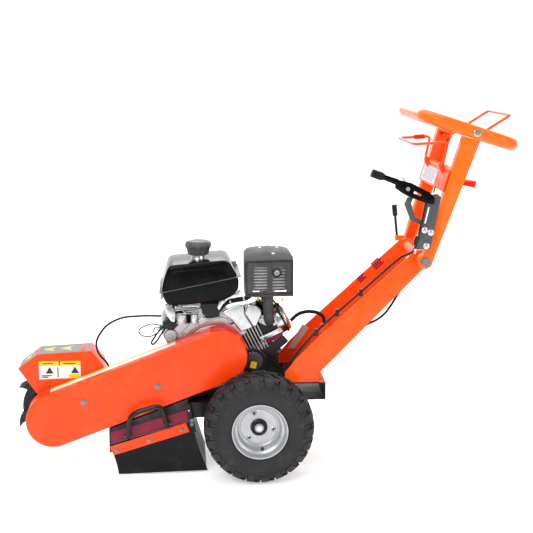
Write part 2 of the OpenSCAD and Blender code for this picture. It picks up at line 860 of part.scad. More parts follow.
module clutch_lever()
    color(black) at_handle() {
        difference() {
            slab(lever_outline, lever_y - 15, lever_y - 7);
            slab(lever_slot, lever_y - 20, lever_y);
        }
        disc(lever_pivot, 8, lever_y - 8, lever_y + 4);
        hex(lever_pivot, 19, lever_y - 24, lever_y - 15);
        along_lever() cylinder(r = 8, h = 90);
    }

module lever_grip()
    color("#101010") at_handle() along_lever() difference() {
        translate([0, 0, 62]) cylinder(r = 15, h = 40);
        cylinder(r = 8, h = 90);
    }

module far_lever()
    color(black) at_handle() {
        translate([far_lever_pivot[0], 206, far_lever_pivot[1]]) rotate([0, -6, 0]) {
            translate([0, 0, 7]) cylinder(r = 5, h = 88);
            translate([0, 0, 88]) cylinder(r = 10, h = 44);
        }
        difference() {
            disc(far_lever_pivot, 9, 200, 212);
            disc(far_lever_pivot, 4 + running_gap, 190, 220);
        }
    }

bail_corner = 18;
front_bail_pivot = [668, 1140];
rear_bail_pivot = [757, 1222];
front_bail_half = [[668, -120, 1140], [668, -bail_y, 1140], [686, -bail_y, 1226],
    [563, -bail_y, 1219]];
rear_bail_half = [[757, -215, 1222], [757, -158, 1222], [790, -bail_y, 1246],
    [912, -bail_y, 1322]];

// A path followed by its own mirror image, so that it runs right across the machine
function across(p) = concat(p, [for (i = [len(p) - 1 : -1 : 0]) [p[i][0], -p[i][1], p[i][2]]]);

module front_bail()
    color("orange") at_handle() {
        tube_along(round_path(across(front_bail_half), bail_corner, 3), bail_d / 2, 10);
        difference() {
            translate([622, bail_y, 1222.3]) rotate([0, 86.8, 0]) cylinder(r = 9, h = 44);
            translate([612, bail_y, 1221.7]) rotate([0, 86.8, 0]) cylinder(r = 5.2, h = 64);
        }
    }

module rear_bail()
    color("orange") at_handle()
        tube_along(round_path(across(rear_bail_half), bail_corner, 3), bail_d / 2, 10);

base_frame();
axle();
boom_plates();
cutter_bearings();
hood();
belt_guard();
guard_backplate();
drive_belts();
deflector_box();
flap_strip();
side_flap();
rear_flap();
chassis_fasteners();
carry_handle();
arm_channel();
pivot_bolts();
crankcase();
crankcase_cover();
cylinder_barrel();
cylinder_head();
valve_cover();
spark_plug();
blower_housing();
recoil_cover();
fuel_tank();
carburettor();
air_cleaner();
muffler();
muffler_guard();
oil_filler_cap();
throttle_cable();
harness_cable();
clutch_cable();
lower_cable();
stop_wire();
crankshaft();
drive_pulley();
fuel_cap();
recoil_grip();
throttle_lever();
engine_switch();
idler_arm();
idler_roller();
cutter_shaft();
cutter_disc();
cutter_teeth();
driven_pulley();
tyre_left();
tyre_right();
wheel_left();
wheel_right();
handle_frame();
cross_panel();
lever_plate();
handle_bolts();
clutch_lever();
lever_grip();
far_lever();
front_bail();
rear_bail();
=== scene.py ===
import json
import math

import bmesh
import bpy
from mathutils import Matrix, Vector

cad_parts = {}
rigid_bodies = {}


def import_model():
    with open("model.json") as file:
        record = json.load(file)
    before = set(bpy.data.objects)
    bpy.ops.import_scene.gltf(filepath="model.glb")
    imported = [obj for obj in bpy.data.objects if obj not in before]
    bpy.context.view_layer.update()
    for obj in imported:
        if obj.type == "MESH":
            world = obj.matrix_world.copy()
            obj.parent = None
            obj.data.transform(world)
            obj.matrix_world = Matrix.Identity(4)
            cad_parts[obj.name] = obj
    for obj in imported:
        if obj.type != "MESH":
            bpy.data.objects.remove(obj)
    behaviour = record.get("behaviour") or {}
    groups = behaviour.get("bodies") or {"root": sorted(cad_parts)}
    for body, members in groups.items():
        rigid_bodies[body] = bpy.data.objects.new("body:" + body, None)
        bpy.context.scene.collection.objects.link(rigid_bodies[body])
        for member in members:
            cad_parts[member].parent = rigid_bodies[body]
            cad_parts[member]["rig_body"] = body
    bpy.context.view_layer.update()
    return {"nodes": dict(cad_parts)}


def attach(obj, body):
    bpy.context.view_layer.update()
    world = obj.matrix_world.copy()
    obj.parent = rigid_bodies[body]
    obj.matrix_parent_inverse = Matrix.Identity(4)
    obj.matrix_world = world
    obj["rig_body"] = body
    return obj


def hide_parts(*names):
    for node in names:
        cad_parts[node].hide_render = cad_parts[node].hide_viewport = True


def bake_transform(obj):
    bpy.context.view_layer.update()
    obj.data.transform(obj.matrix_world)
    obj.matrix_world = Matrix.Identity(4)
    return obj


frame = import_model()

NODES = frame["nodes"]

# Lengths below are millimetres from the ground under the wheel axle, as in the part's source.
# X runs towards the handle, Y away from the belt guard and Z up. NEAR faces out of the guard.
AXLE_X = -25.07
AXLE_Z = 203.0
WHEEL_Y = 260.0
CUTTER = (-760.0, 222.0)
CRANK = (-157.0, 425.0)
GUARD_FRONT = (-755.0, 206.0)
GUARD_REAR = (-135.0, 438.0)
GUARD_R = 99.5
GUARD_Y = -162.0
BACKPLATE_Y = -70.0
CYLINDER_TILT = 26.0
HANDLE_SETBACK = 9.5
BAIL_R = 5.0
NEAR = (0, -1, 0)


def metres(x, y, z):
    return Vector(((x + AXLE_X) / 1000, y / 1000, z / 1000))


# ---------------- materials

def linear(code):
    """A #rrggbb colour as the shader's own linear values."""
    parts = [int(code[i:i + 2], 16) / 255 for i in (1, 3, 5)]
    return [c / 12.92 if c <= 0.04045 else ((c + 0.055) / 1.055) ** 2.4 for c in parts]


def scaled(colour, k, lift=0.0):
    return (*[min(1.0, max(0.0, (c + lift) * k)) for c in colour], 1.0)


class Graph:
    """One material's nodes, with short ways to add and join them."""

    def __init__(self, name):
        self.material = bpy.data.materials.new(name)
        self.material.use_nodes = True
        self.tree = self.material.node_tree
        self.coords = self.add("ShaderNodeTexCoord").outputs["Object"]

    def put(self, socket, value):
        """Joins an output to a socket, or sets the socket's own value."""
        if isinstance(value, bpy.types.NodeSocket):
            self.tree.links.new(value, socket)
        else:
            socket.default_value = value

    def add(self, kind, inputs=None, **settings):
        node = self.tree.nodes.new(kind)
        for key, value in settings.items():
            setattr(node, key, value)
        for key, value in (inputs or {}).items():
            self.put(node.inputs[key], value)
        return node

    def surface(self, values):
        """Fills in the shader and gives back the material."""
        shader = self.tree.nodes["Principled BSDF"]
        for key, value in values.items():
            self.put(shader.inputs[key], value)
        return self.material

    def noise(self, scale, detail=3.0, rough=0.55, stretch=None):
        vector = self.coords
        if stretch:
            vector = self.add("ShaderNodeMapping",
                              {"Vector": vector, "Scale": stretch}).outputs["Vector"]
        return self.add("ShaderNodeTexNoise", {"Vector": vector, "Scale": scale,
                                               "Detail": detail, "Roughness": rough}).outputs["Fac"]

    def ramp(self, value, *stops):
        node = self.add("ShaderNodeValToRGB", {"Fac": value})
        ramp = node.color_ramp
        while len(ramp.elements) < len(stops):
            ramp.elements.new(0.5)
        for element, (position, colour) in zip(ramp.elements, stops):
            element.position = position
            element.color = colour
        return node.outputs["Color"]

    def mottled(self, value, colour, vary, low=0.25):
        """A colour that is a little darker and lighter by turns."""
        return self.ramp(value, (low, scaled(colour, 1 - vary)), (1 - low, scaled(colour, 1 + vary)))

    def scale_to(self, value, low, high, from_low=0.3, from_high=0.7):
        return self.add("ShaderNodeMapRange", {"Value": value, "From Min": from_low,
                                               "From Max": from_high, "To Min": low,
                                               "To Max": high}).outputs["Result"]

    def mix(self, factor, a, b):
        return self.add("ShaderNodeMix", {0: factor, 6: a, 7: b}, data_type="RGBA").outputs[2]

    def math(self, operation, a, b=0.0):
        return self.add("ShaderNodeMath", {0: a, 1: b}, operation=operation).outputs[0]

    def bump(self, height, strength, distance):
        return self.add("ShaderNodeBump", {"Height": height, "Strength": strength,
                                           "Distance": distance}).outputs["Normal"]


def paint(name, code, rough=0.3, coat=0.15, vary=0.07, peel=0.12, dust=0.05, shine=0.22):
    """Powder coat or enamel: a faint orange peel, a slightly uneven gloss and a little dust."""
    g = Graph(name)
    base = g.mottled(g.noise(7.0), linear(code), vary)
    dusty = g.math("MULTIPLY", g.scale_to(g.noise(23.0, 5.0), 0.0, 1.0, 0.5, 0.8), dust)
    return g.surface({"Base Color": g.mix(dusty, base, (0.55, 0.5, 0.45, 1.0)),
                      "Roughness": g.scale_to(g.noise(31.0, 4.0), rough * 0.85, rough * 1.25),
                      "Normal": g.bump(g.noise(190.0, 2.0), peel, 0.0004),
                      "Specular IOR Level": shine, "Coat Weight": coat, "Coat Roughness": 0.12})


def bare_metal(name, code, rough=0.32, vary=0.12, grain=(1.0, 1.0, 1.0), scale=160.0,
               depth=0.15, metallic=1.0):
    """Cast, turned or plated metal. A stretched grain reads as turning or brushing."""
    g = Graph(name)
    colour = linear(code)
    base = g.mottled(g.noise(11.0, 4.0), colour, vary)
    stains = g.scale_to(g.noise(47.0, 6.0), 0.0, 0.35, 0.56, 0.78)
    fine = g.noise(scale, 4.0, stretch=grain)
    return g.surface({"Base Color": g.mix(stains, base, scaled(colour, 0.45)),
                      "Roughness": g.scale_to(fine, rough * 0.7, rough * 1.4),
                      "Normal": g.bump(fine, depth, 0.0006), "Metallic": metallic})


def plastic(name, code, rough=0.45, vary=0.12, texture=520.0, depth=0.14):
    """Moulded plastic with a fine moulded texture."""
    g = Graph(name)
    colour = linear(code)
    base = g.mottled(g.noise(9.0, 4.0), colour, vary, 0.3)
    scuffs = g.scale_to(g.noise(70.0, 8.0, 0.7), 0.0, 0.22, 0.6, 0.8)
    return g.surface({"Base Color": g.mix(scuffs, base, scaled(colour, 1.3, 0.05)),
                      "Roughness": g.scale_to(g.noise(26.0, 5.0), rough * 0.8, rough * 1.2),
                      "Normal": g.bump(g.noise(texture, 2.0), depth, 0.0004),
                      "Specular IOR Level": 0.3})


def label(name, code, rough=0.3, vary=0.03):
    return plastic(name, code, rough, vary, texture=900.0, depth=0.03)


def rubber(name, code, rough=0.62, texture=300.0, depth=0.3, shine=0.25):
    """Moulded rubber, greyer where it has been handled."""
    g = Graph(name)
    colour = linear(code)
    broad = g.noise(13.0, 6.0, 0.65)
    base = g.ramp(broad, (0.3, scaled(colour, 0.72)), (0.52, scaled(colour, 1.0)),
                  (0.75, scaled(colour, 1.35, 0.012)))
    return g.surface({"Base Color": base,
                      "Roughness": g.scale_to(broad, rough * 0.85, min(1.0, rough * 1.25)),
                      "Normal": g.bump(g.noise(texture, 5.0, 0.7), depth, 0.0005),
                      "Specular IOR Level": shine})


def ribbed_conduit():
    """Conduit with rings moulded across it at an even spacing. Its colour is painted shade in the
    grooves and painted highlight on the crests.
    """
    g = Graph("ribbed_conduit")
    colour = linear("#161618")
    spacing = 0.0016
    waves = g.add("ShaderNodeTexWave", {"Vector": g.coords, "Scale": 1 / spacing,
                                        "Distortion": 0.0, "Detail": 0.0},
                  bands_direction="X", wave_profile="SIN").outputs["Fac"]
    # Painted shade and highlight: darker in the ring grooves, lighter on their crests.
    base = g.ramp(waves, (0.1, scaled(colour, 0.5)), (0.6, scaled(colour, 1.2)))
    return g.surface({"Base Color": base, "Roughness": g.scale_to(g.noise(90.0), 0.4, 0.6),
                      "Normal": g.bump(waves, 0.8, 0.0012)})


def tyre_rubber():
    """Tyre rubber with moulded rings on the sidewall, and painted shade that darkens the foot where
    the tyre meets the rim.
    """
    g = Graph("tyre_rubber")
    colour = linear("#29292b")
    split = g.add("ShaderNodeSeparateXYZ", {"Vector": g.coords})
    dx = g.math("SUBTRACT", split.outputs["X"], AXLE_X / 1000)
    dz = g.math("SUBTRACT", split.outputs["Z"], AXLE_Z / 1000)
    radius = g.math("SQRT", g.math("ADD", g.math("MULTIPLY", dx, dx), g.math("MULTIPLY", dz, dz)))
    broad = g.noise(21.0, 7.0, 0.7)
    base = g.ramp(broad, (0.3, scaled(colour, 0.6)), (0.55, scaled(colour, 1.0)),
                  (0.75, scaled(colour, 1.3, 0.02)))
    # Painted shade: darker towards the rim, where the tyre meets it.
    base = g.mix(g.scale_to(radius, 0.55, 0.0, 0.101, 0.115), base, scaled(colour, 0.35))
    rings = g.math("SINE", g.math("MULTIPLY", radius, 3400.0))
    inner = g.scale_to(radius, 0.25, 0.0, 0.150, 0.154)
    height = g.math("ADD", g.noise(240.0, 5.0, 0.7), g.math("MULTIPLY", rings, inner))
    return g.surface({"Base Color": base, "Roughness": g.scale_to(broad, 0.5, 0.72),
                      "Normal": g.bump(height, 0.3, 0.0006), "Specular IOR Level": 0.25})


ORANGE = paint("orange_coat", "#ff4306", coat=0.12)
ORANGE_ARM = paint("orange_arm_coat", "#ff5208", coat=0.12)
ORANGE_HANDLE = paint("orange_handle_coat", "#ff6500", rough=0.28, coat=0.2)
ORANGE_ROD = paint("orange_rod_coat", "#fb5208", rough=0.32, coat=0.1)
# Dark crimson: painted shade on the orange deflector plate, a painted reflection on the cylinder side
# cover, and the real print of the arm's label marks.
RED_PAINTED_SHADE_REFLECTION_AND_PRINT = paint("red_painted_shade_reflection_and_print_coat", "#7d1030", rough=0.42, coat=0.1)
# Bright red: painted shade on the guard's rim band and on the handle's side tab, and the red of the
# front bail's sleeve.
RED_PAINT_AND_PAINTED_SHADE = paint("red_paint_and_painted_shade_coat", "#f01c08", coat=0.0, vary=0.2, shine=0.1)
# Grey: the lever plate's own grey, and a painted highlight along the deflector's bent edge.
PLATE_GREY_AND_PAINTED_HIGHLIGHT = paint("grey_plate_and_painted_highlight_coat", "#4a4b4d", rough=0.42, vary=0.1)
# Black satin: the real black parts, and painted shade on the deflector's upper plates under the
# guard.
BLACK_PAINT_AND_PAINTED_SHADE = paint("black_satin_and_painted_shade", "#131315", rough=0.42, vary=0.2, dust=0.08)
BLACK_GLOSS = paint("black_gloss", "#050506", rough=0.16, coat=0.04, vary=0.3, peel=0.04, dust=0.01,
                    shine=0.1)
DARK_RIM = paint("dark_rim_coat", "#1b1c1e", rough=0.28, vary=0.12)
# Grey for the tank's seam flange: a painted highlight on the black tank.
SEAM_PAINTED_HIGHLIGHT = paint("seam_painted_highlight_coat", "#4c4d50", vary=0.1)
SILVER_HEAT = paint("silver_heatproof", "#e2e3e5", rough=0.45, coat=0.0, vary=0.05, shine=0.3)
DARK_HEAT = paint("dark_heatproof", "#3a3b3d", rough=0.5, coat=0.1, vary=0.16, peel=0.3)
BOLT_GREY = bare_metal("grey_bolt", "#7d8083", rough=0.4, vary=0.2, scale=240.0, depth=0.2)
# Black casting: the cutter's real black castings, and painted shade on the underside of the cylinder
# head.
BLACK_CAST_AND_PAINTED_SHADE = bare_metal("black_casting_and_painted_shade", "#202022", rough=0.5, vary=0.3, scale=320.0, depth=0.3,
                        metallic=0.35)
CAST_ALU = bare_metal("cast_aluminium", "#c4c6c9", rough=0.36, vary=0.35, scale=420.0, depth=0.4)
SHEET_ALU = bare_metal("pressed_aluminium", "#c2c4c6", rough=0.2, vary=0.07,
                       grain=(1.0, 6.0, 1.0), scale=90.0, depth=0.05)
ZINC = bare_metal("zinc_plate", "#c6c8ca", rough=0.3, scale=220.0, depth=0.12)
STEEL = bare_metal("turned_steel", "#b4b6b9", rough=0.26, grain=(1.0, 0.12, 1.0), scale=260.0)
DARK_STEEL = bare_metal("dark_steel", "#4a4b4e", rough=0.42, vary=0.25, scale=240.0, depth=0.2)
CAST_IRON = bare_metal("cast_iron", "#3c3c3e", rough=0.55, vary=0.3, scale=280.0, depth=0.4,
                       metallic=0.7)
WHEEL_PAINT = bare_metal("wheel_silver_paint", "#b9bbbe", rough=0.34, vary=0.05, scale=300.0,
                         depth=0.06, metallic=0.55)
BLACK_PLASTIC = plastic("black_plastic", "#1c1c1e", rough=0.42)
GLOSS_PLASTIC = plastic("gloss_black_plastic", "#161618", rough=0.24, depth=0.06)
GREY_PLASTIC = plastic("grey_plastic", "#8b8d90", rough=0.4)
DARK_GREY_PLASTIC = plastic("dark_grey_plastic", "#4a4b4d", rough=0.4)
YELLOW_PLASTIC = plastic("yellow_plastic", "#f2cf1c", rough=0.36, vary=0.06)
RED_PLASTIC = plastic("red_plastic", "#b8101a", rough=0.35, vary=0.08)
GREEN_PLASTIC = plastic("green_plastic", "#128a3a", rough=0.4)
CABLE_SHEATH = plastic("cable_sheath", "#131315", rough=0.34)
WHITE_LABEL = label("white_label", "#e9e8e2", vary=0.02)
YELLOW_LABEL = label("yellow_label", "#eec51f")
GREY_LABEL = label("grey_label", "#c9cbcf", rough=0.28)
STRIP_GREY = label("grey_strip", "#757678", rough=0.34, vary=0.06)
DARK_LABEL = label("dark_label", "#2a2b2d", rough=0.34, vary=0.08)
GRIP_RUBBER = rubber("grip_rubber", "#121213", rough=0.5)
SHEET_RUBBER = rubber("sheet_rubber", "#0b0b0d", rough=0.4, texture=130.0, depth=0.22, shine=0.2)
BELT_RUBBER = rubber("belt_rubber", "#202021", rough=0.75)
CONDUIT = ribbed_conduit()
TYRE_RUBBER = tyre_rubber()

# ---------------- mesh helpers

def show(name, node, material, bm, body=None, replaces=False, angle=32.0, bends=()):
    """Adds a bmesh in metres as a piece of a node. It rides on a body, or with bends it is only baked
    in place.
    """
    mesh = bpy.data.meshes.new(name)
    bm.to_mesh(mesh)
    bm.free()
    for polygon in mesh.polygons:
        polygon.use_smooth = True
    mesh.set_sharp_from_angle(angle=math.radians(angle))
    mesh.materials.append(material)
    piece = bpy.data.objects.new(name, mesh)
    bpy.context.scene.collection.objects.link(piece)
    if bends:
        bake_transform(piece)
    else:
        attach(piece, body or NODES[node]["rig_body"])
    if replaces:
        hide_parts(node)
    return piece


def keep(name, node, material, *parts, **settings):
    """Makes one piece of a node from parts drawn in axle millimetres."""
    bm = bmesh.new()
    for part in parts:
        join(bm, part)
    bmesh.ops.recalc_face_normals(bm, faces=bm.faces)
    for v in bm.verts:
        v.co = metres(*v.co)
    return show(name, node, material, bm, **settings)


def join(bm, part):
    """Copies a bmesh into another and frees it."""
    mesh = bpy.data.meshes.new("joined")
    part.to_mesh(mesh)
    part.free()
    bm.from_mesh(mesh)
    bpy.data.meshes.remove(mesh)


def turned(part, turn):
    if turn is not None:
        bmesh.ops.transform(part, matrix=turn, verts=part.verts)
    return part


def round_edges(bm, width, segments):
    """Rounds the edges at which the surface turns sharply."""
    chosen = [e for e in bm.edges
              if len(e.link_faces) == 2 and e.calc_face_angle(0.0) > math.radians(35)]
    if chosen and width > 0:
        bmesh.ops.bevel(bm, geom=chosen, offset=width, segments=segments, profile=0.5,
                        affect="EDGES", clamp_overlap=True)


def around(steps):
    return [2 * math.pi * k / steps for k in range(steps)]


def on_circle(centre, radius, degrees):
    a = math.radians(degrees)
    return centre[0] + radius * math.cos(a), centre[1] + radius * math.sin(a)


def skin(rings, closed=False, capped=True):
    """A surface over rings of points. A ring of one point is a tip, and open ends are capped."""
    part = bmesh.new()
    loops = [[part.verts.new(p) for p in ring] for ring in rings]
    n = max(len(loop) for loop in loops)
    for a, b in zip(loops, loops[1:] + (loops[:1] if closed else [])):
        for k in range(n):
            corners = [a[k % len(a)], a[(k + 1) % n % len(a)], b[(k + 1) % n % len(b)], b[k % len(b)]]
            corners = list(dict.fromkeys(corners))
            if len(corners) > 2:
                part.faces.new(corners)
    if capped and not closed:
        part.faces.new(loops[0][::-1])
        part.faces.new(loops[-1])
    bmesh.ops.recalc_face_normals(part, faces=part.faces)
    return part


def eased(before, p, after, radius, steps):
    """The points of a rounded corner at p."""
    a = p + (before - p).normalized() * min(radius, (before - p).length * 0.45)
    b = p + (after - p).normalized() * min(radius, (after - p).length * 0.45)
    shares = [k / steps for k in range(steps + 1)]
    return [a * (1 - t) ** 2 + p * 2 * t * (1 - t) + b * t * t for t in shares]


def rounded_path(points, radius, steps):
    """The points of a path with its corners rounded."""
    pts = [Vector(p) for p in points]
    corners = [eased(*three, radius, steps) for three in zip(pts, pts[1:], pts[2:])]
    return [pts[0], *[p for corner in corners for p in corner], pts[-1]]


def rounded_outline(points, radius, steps=5):
    """A closed outline with its corners rounded."""
    pts = [Vector(p) for p in points]
    corners = [eased(*three, radius, steps) for three in zip(pts[-1:] + pts, pts, pts[1:] + pts[:1])]
    return [p for corner in corners for p in corner]


def slab(points, y0, y1, bevel=0.0, segments=2, corner=0.0, steps=5, turn=None):
    """An XZ outline that is thick from y0 to y1. corner rounds the outline, bevel its edges."""
    if corner:
        points = rounded_outline(points, corner, steps)
    part = skin([[(x, y, z) for x, z in points] for y in (y0, y1)])
    round_edges(part, bevel, segments)
    return turned(part, turn)


def box(x, y, z, bevel=0.0, segments=2):
    corners = [(x[0], z[0]), (x[1], z[0]), (x[1], z[1]), (x[0], z[1])]
    return slab(corners, *y, bevel, segments)


def place(x, y, z, along=NEAR):
    """A matrix whose Z runs along a direction, at a point in millimetres."""
    q = Vector(along).normalized().to_track_quat("Z", "Y")
    return Matrix.Translation((x, y, z)) @ q.to_matrix().to_4x4()


def lathe(profile, steps=48, turn=None, closed=True):
    """Revolves (radius, height) points about Z. Off the axis, closed joins the last to the first."""
    rings = [[(r * math.cos(t), r * math.sin(t), h) for t in around(steps)] if r > 0
             else [(0.0, 0.0, h)] for r, h in profile]
    return turned(skin(rings, closed and profile[0][0] > 0, capped=False), turn)


def rod(start, end, radius, steps=24, edge=1.0):
    """A solid cylinder with eased ends."""
    a, b = Vector(start), Vector(end)
    height = (b - a).length
    e = min(edge, radius * 0.45, height * 0.45)
    foot = [(0, 0), (radius - e, 0), (radius - e * 0.3, e * 0.3), (radius, e)]
    return lathe(foot + [(r, height - h) for r, h in reversed(foot)], steps, place(*a, along=b - a))


def hex_bolt(x, y, z, flats, head=0.62, along=NEAR, washer=True):
    """A flanged hexagon head that stands on the surface at a point."""
    r = flats / 2 / math.cos(math.pi / 6)
    top = 2.0 + flats * head
    bolt = lathe([(0, 1), (r, 1), (r, top - 1.2), (r * 0.88, top), (r * 0.5, top - 0.4),
                  (0, top - 0.4)], 6)
    if washer:
        join(bolt, lathe([(0, 0), (r * 1.35, 0), (r * 1.35, 1.2), (r * 1.15, 2.2), (0, 2.2)], 24))
    return turned(bolt, place(x, y, z, along))


def tube(points, radius, sides=14, corner=0.0, steps=6):
    """A round tube along points, with a frame carried from one to the next."""
    pts = rounded_path(points, corner, steps) if corner else points
    rings = []
    normal = None
    for before, p, after in zip(pts[:1] + pts, pts, pts[1:] + pts[-1:]):
        t = (after - before).normalized()
        if normal is None:
            normal = Vector((0, 1, 0)) if abs(t.y) < 0.8 else Vector((1, 0, 0))
        normal = (normal - t * normal.dot(t)).normalized()
        side = t.cross(normal)
        rings.append([p + radius * (math.cos(a) * normal + math.sin(a) * side)
                      for a in around(sides)])
    return skin(rings)


def softened(node, name, material, width, segments=2):
    """A copy of a CAD node with its edges rounded as the real sheet or casting's are."""
    bm = bmesh.new()
    bm.from_mesh(NODES[node].data)
    bmesh.ops.remove_doubles(bm, verts=bm.verts, dist=2e-6)
    bmesh.ops.dissolve_limit(bm, angle_limit=math.radians(0.5), verts=bm.verts, edges=bm.edges)
    bmesh.ops.dissolve_degenerate(bm, dist=1e-6, edges=bm.edges)
    round_edges(bm, width / 1000, segments)
    return show(name, node, material, bm, replaces=True, angle=30.0)


def give(node, material):
    """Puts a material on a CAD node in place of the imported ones."""
    data = NODES[node].data
    data.materials.clear()
    data.materials.append(material)


for node, name, material, width, segments in (
        ("guard_backplate", "guard_backplate_finished", ORANGE, 1.0, 1),
        ("hood", "hood_shell", ORANGE, 2.2, 3),
        ("cutter_teeth", "cutter_tooth_set", BLACK_CAST_AND_PAINTED_SHADE, 2.2, 2),
        ("cutter_bearings", "cutter_bearings_finished", CAST_IRON, 2.5, 2),
        ("boom_plates", "boom_plates_finished", BLACK_PAINT_AND_PAINTED_SHADE, 1.0, 1),
        ("base_frame", "base_frame_finished", BLACK_PAINT_AND_PAINTED_SHADE, 2.5, 2),
        ("chassis_fasteners", "chassis_bolt_heads", BOLT_GREY, 0.8, 2),
        ("flap_strip", "flap_clamp_strip", ORANGE, 1.0, 2),
        ("arm_channel", "arm_channel_shell", ORANGE_ARM, 1.6, 2),
        ("pivot_bolts", "pivot_bolt_set", BOLT_GREY, 0.8, 2),
        ("crankcase", "crankcase_casting", CAST_ALU, 3.0, 3),
        ("crankcase_cover", "crankcase_cover_plate", CAST_ALU, 1.2, 2),
        ("muffler_guard", "muffler_guard_shell", DARK_HEAT, 2.2, 3),
        ("blower_housing", "fan_housing", BLACK_PAINT_AND_PAINTED_SHADE, 2.0, 2),
        ("recoil_cover", "starter_cover", BLACK_PAINT_AND_PAINTED_SHADE, 2.5, 3),
        ("carburettor", "carburettor_body", CAST_ALU, 2.5, 2),
        ("spark_plug", "spark_plug_boot", SHEET_RUBBER, 1.2, 2),
        ("recoil_grip", "starter_grip", GRIP_RUBBER, 2.5, 3),
        ("throttle_lever", "throttle_arm", ZINC, 0.8, 2),
        ("engine_switch", "stop_switch_rocker", RED_PLASTIC, 1.2, 2),
        ("oil_filler_cap", "oil_filler_handle", DARK_GREY_PLASTIC, 2.0, 3),
        ("handle_frame", "handle_weldment", ORANGE_HANDLE, 1.4, 2),
        ("cross_panel", "cross_panel_sheet", ORANGE_ARM, 1.0, 2),
        ("lever_plate", "lever_plate_steel", PLATE_GREY_AND_PAINTED_HIGHLIGHT, 1.0, 2),
        ("far_lever", "far_lever_and_knob", GLOSS_PLASTIC, 1.5, 2),
        ("clutch_lever", "clutch_lever_arm", BLACK_GLOSS, 1.8, 3)):
    softened(node, name, material, width, segments)

for node, material in (("cutter_disc", BLACK_CAST_AND_PAINTED_SHADE), ("cutter_shaft", STEEL), ("crankshaft", STEEL),
                       ("driven_pulley", CAST_IRON), ("drive_pulley", CAST_IRON),
                       ("idler_roller", CAST_IRON), ("idler_arm", ZINC),
                       ("drive_belts", BELT_RUBBER), ("axle", DARK_STEEL)):
    give(node, material)

# ---------------- wheels

TYRE_CARCASS = [(98.5, 66), (103.5, 70.5), (113, 76), (128, 80), (142, 81.4),
                (149.5, 81), (150.8, 82), (153.5, 82), (155, 80), (165, 76.5),
                (175, 70.5), (183, 62), (188.5, 51), (191.8, 36), (193.6, 18),
                (194.3, 0)]
TYRE_PROFILE = TYRE_CARCASS + [(r, -y) for r, y in reversed(TYRE_CARCASS[:-1])]
LUGS = 22
LUG_PITCH = 2 * math.pi / LUGS


def on_profile(s):
    """Point and outward normal at a place s along the tyre's profile, interpolated."""
    i = int(s)
    t = s - i
    before, (r0, y0), (r1, y1), after = TYRE_PROFILE[i - 1:i + 3]
    t0 = Vector((r1 - before[0], y1 - before[1])).normalized()
    t1 = Vector((after[0] - r0, after[1] - y0)).normalized()
    tangent = (t0 * (1 - t) + t1 * t).normalized()
    return r0 + (r1 - r0) * t, y0 + (y1 - y0) * t, -tangent.y, tangent.x


def tread_block(bm, spans):
    """A raised block on the tyre. spans lists (profile place, first angle, last angle)."""
    tops, feet = [], []
    for j, (s, a0, a1) in enumerate(spans):
        r, y, nr, ny = on_profile(s)
        rise = min(8.6, (202.6 - r) / max(nr, 0.25), 1.4 + max(0, r - 158) * 0.2)
        if j in (0, len(spans) - 1):
            rise *= 0.86
        top, foot = [], []
        for k in range(4):
            angle = a0 + (a1 - a0) * k / 3
            drawn_in = angle + 0.14 * (0.5 - k / 3) * (a1 - a0)
            for row, d, a in ((top, rise, drawn_in), (foot, -1.5, angle)):
                row.append(bm.verts.new(((r + nr * d) * math.cos(a), y + ny * d,
                                         (r + nr * d) * math.sin(a))))
        tops.append(top)
        feet.append(foot)
    for j in range(len(spans) - 1):
        for k in range(3):
            bm.faces.new((tops[j][k], tops[j][k + 1], tops[j + 1][k + 1], tops[j + 1][k]))
        bm.faces.new((feet[j][0], tops[j][0], tops[j + 1][0], feet[j + 1][0]))
        bm.faces.new((feet[j][3], feet[j + 1][3], tops[j + 1][3], tops[j][3]))
    for k in range(3):
        bm.faces.new((feet[0][k], feet[0][k + 1], tops[0][k + 1], tops[0][k]))
        bm.faces.new((feet[-1][k], tops[-1][k], tops[-1][k + 1], feet[-1][k + 1]))


def make_tyre(side, word):
    foot = [(100, -62), (110, -66), (110, 66), (100, 62)]
    bm = lathe(TYRE_PROFILE + foot, 120, place(0, 0, 0, along=(0, 1, 0)))
    skew = 0.10 * LUG_PITCH
    for flip in (False, True):
        for k in range(LUGS):
            start = LUG_PITCH * (k + (0.5 if flip else 0))
            wide = 0.60 if k % 2 else 0.66
            # shoulder lug, short sidewall lug, and three rows of blocks across the crown
            for places, first, last, lean in (
                    ((8.6 if k % 2 else 9.1, 10, 11, 12, 12.9), 0, wide, skew),
                    ((8.5, 9.2, 10.1), wide + 0.1, 0.94, skew),
                    ((11.2, 12, 12.8), wide + 0.14, 1, -skew),
                    ((13.2, 13.8, 14.3), 0.12, 0.66, skew * 2),
                    ((14.5, 14.9), 0.62, 1.06, -skew)):
                spans = []
                for s in places:
                    a = start + lean * (s - places[0]) / (places[-1] - places[0])
                    spans.append((2 * len(TYRE_CARCASS) - 2 - s if flip else s,
                                  a + LUG_PITCH * first, a + LUG_PITCH * last))
                tread_block(bm, spans)
    bmesh.ops.translate(bm, vec=(0, side * WHEEL_Y, AXLE_Z), verts=bm.verts)
    keep(f"tyre_{word}_tread", f"tyre_{word}", TYRE_RUBBER, bm, replaces=True, angle=24)


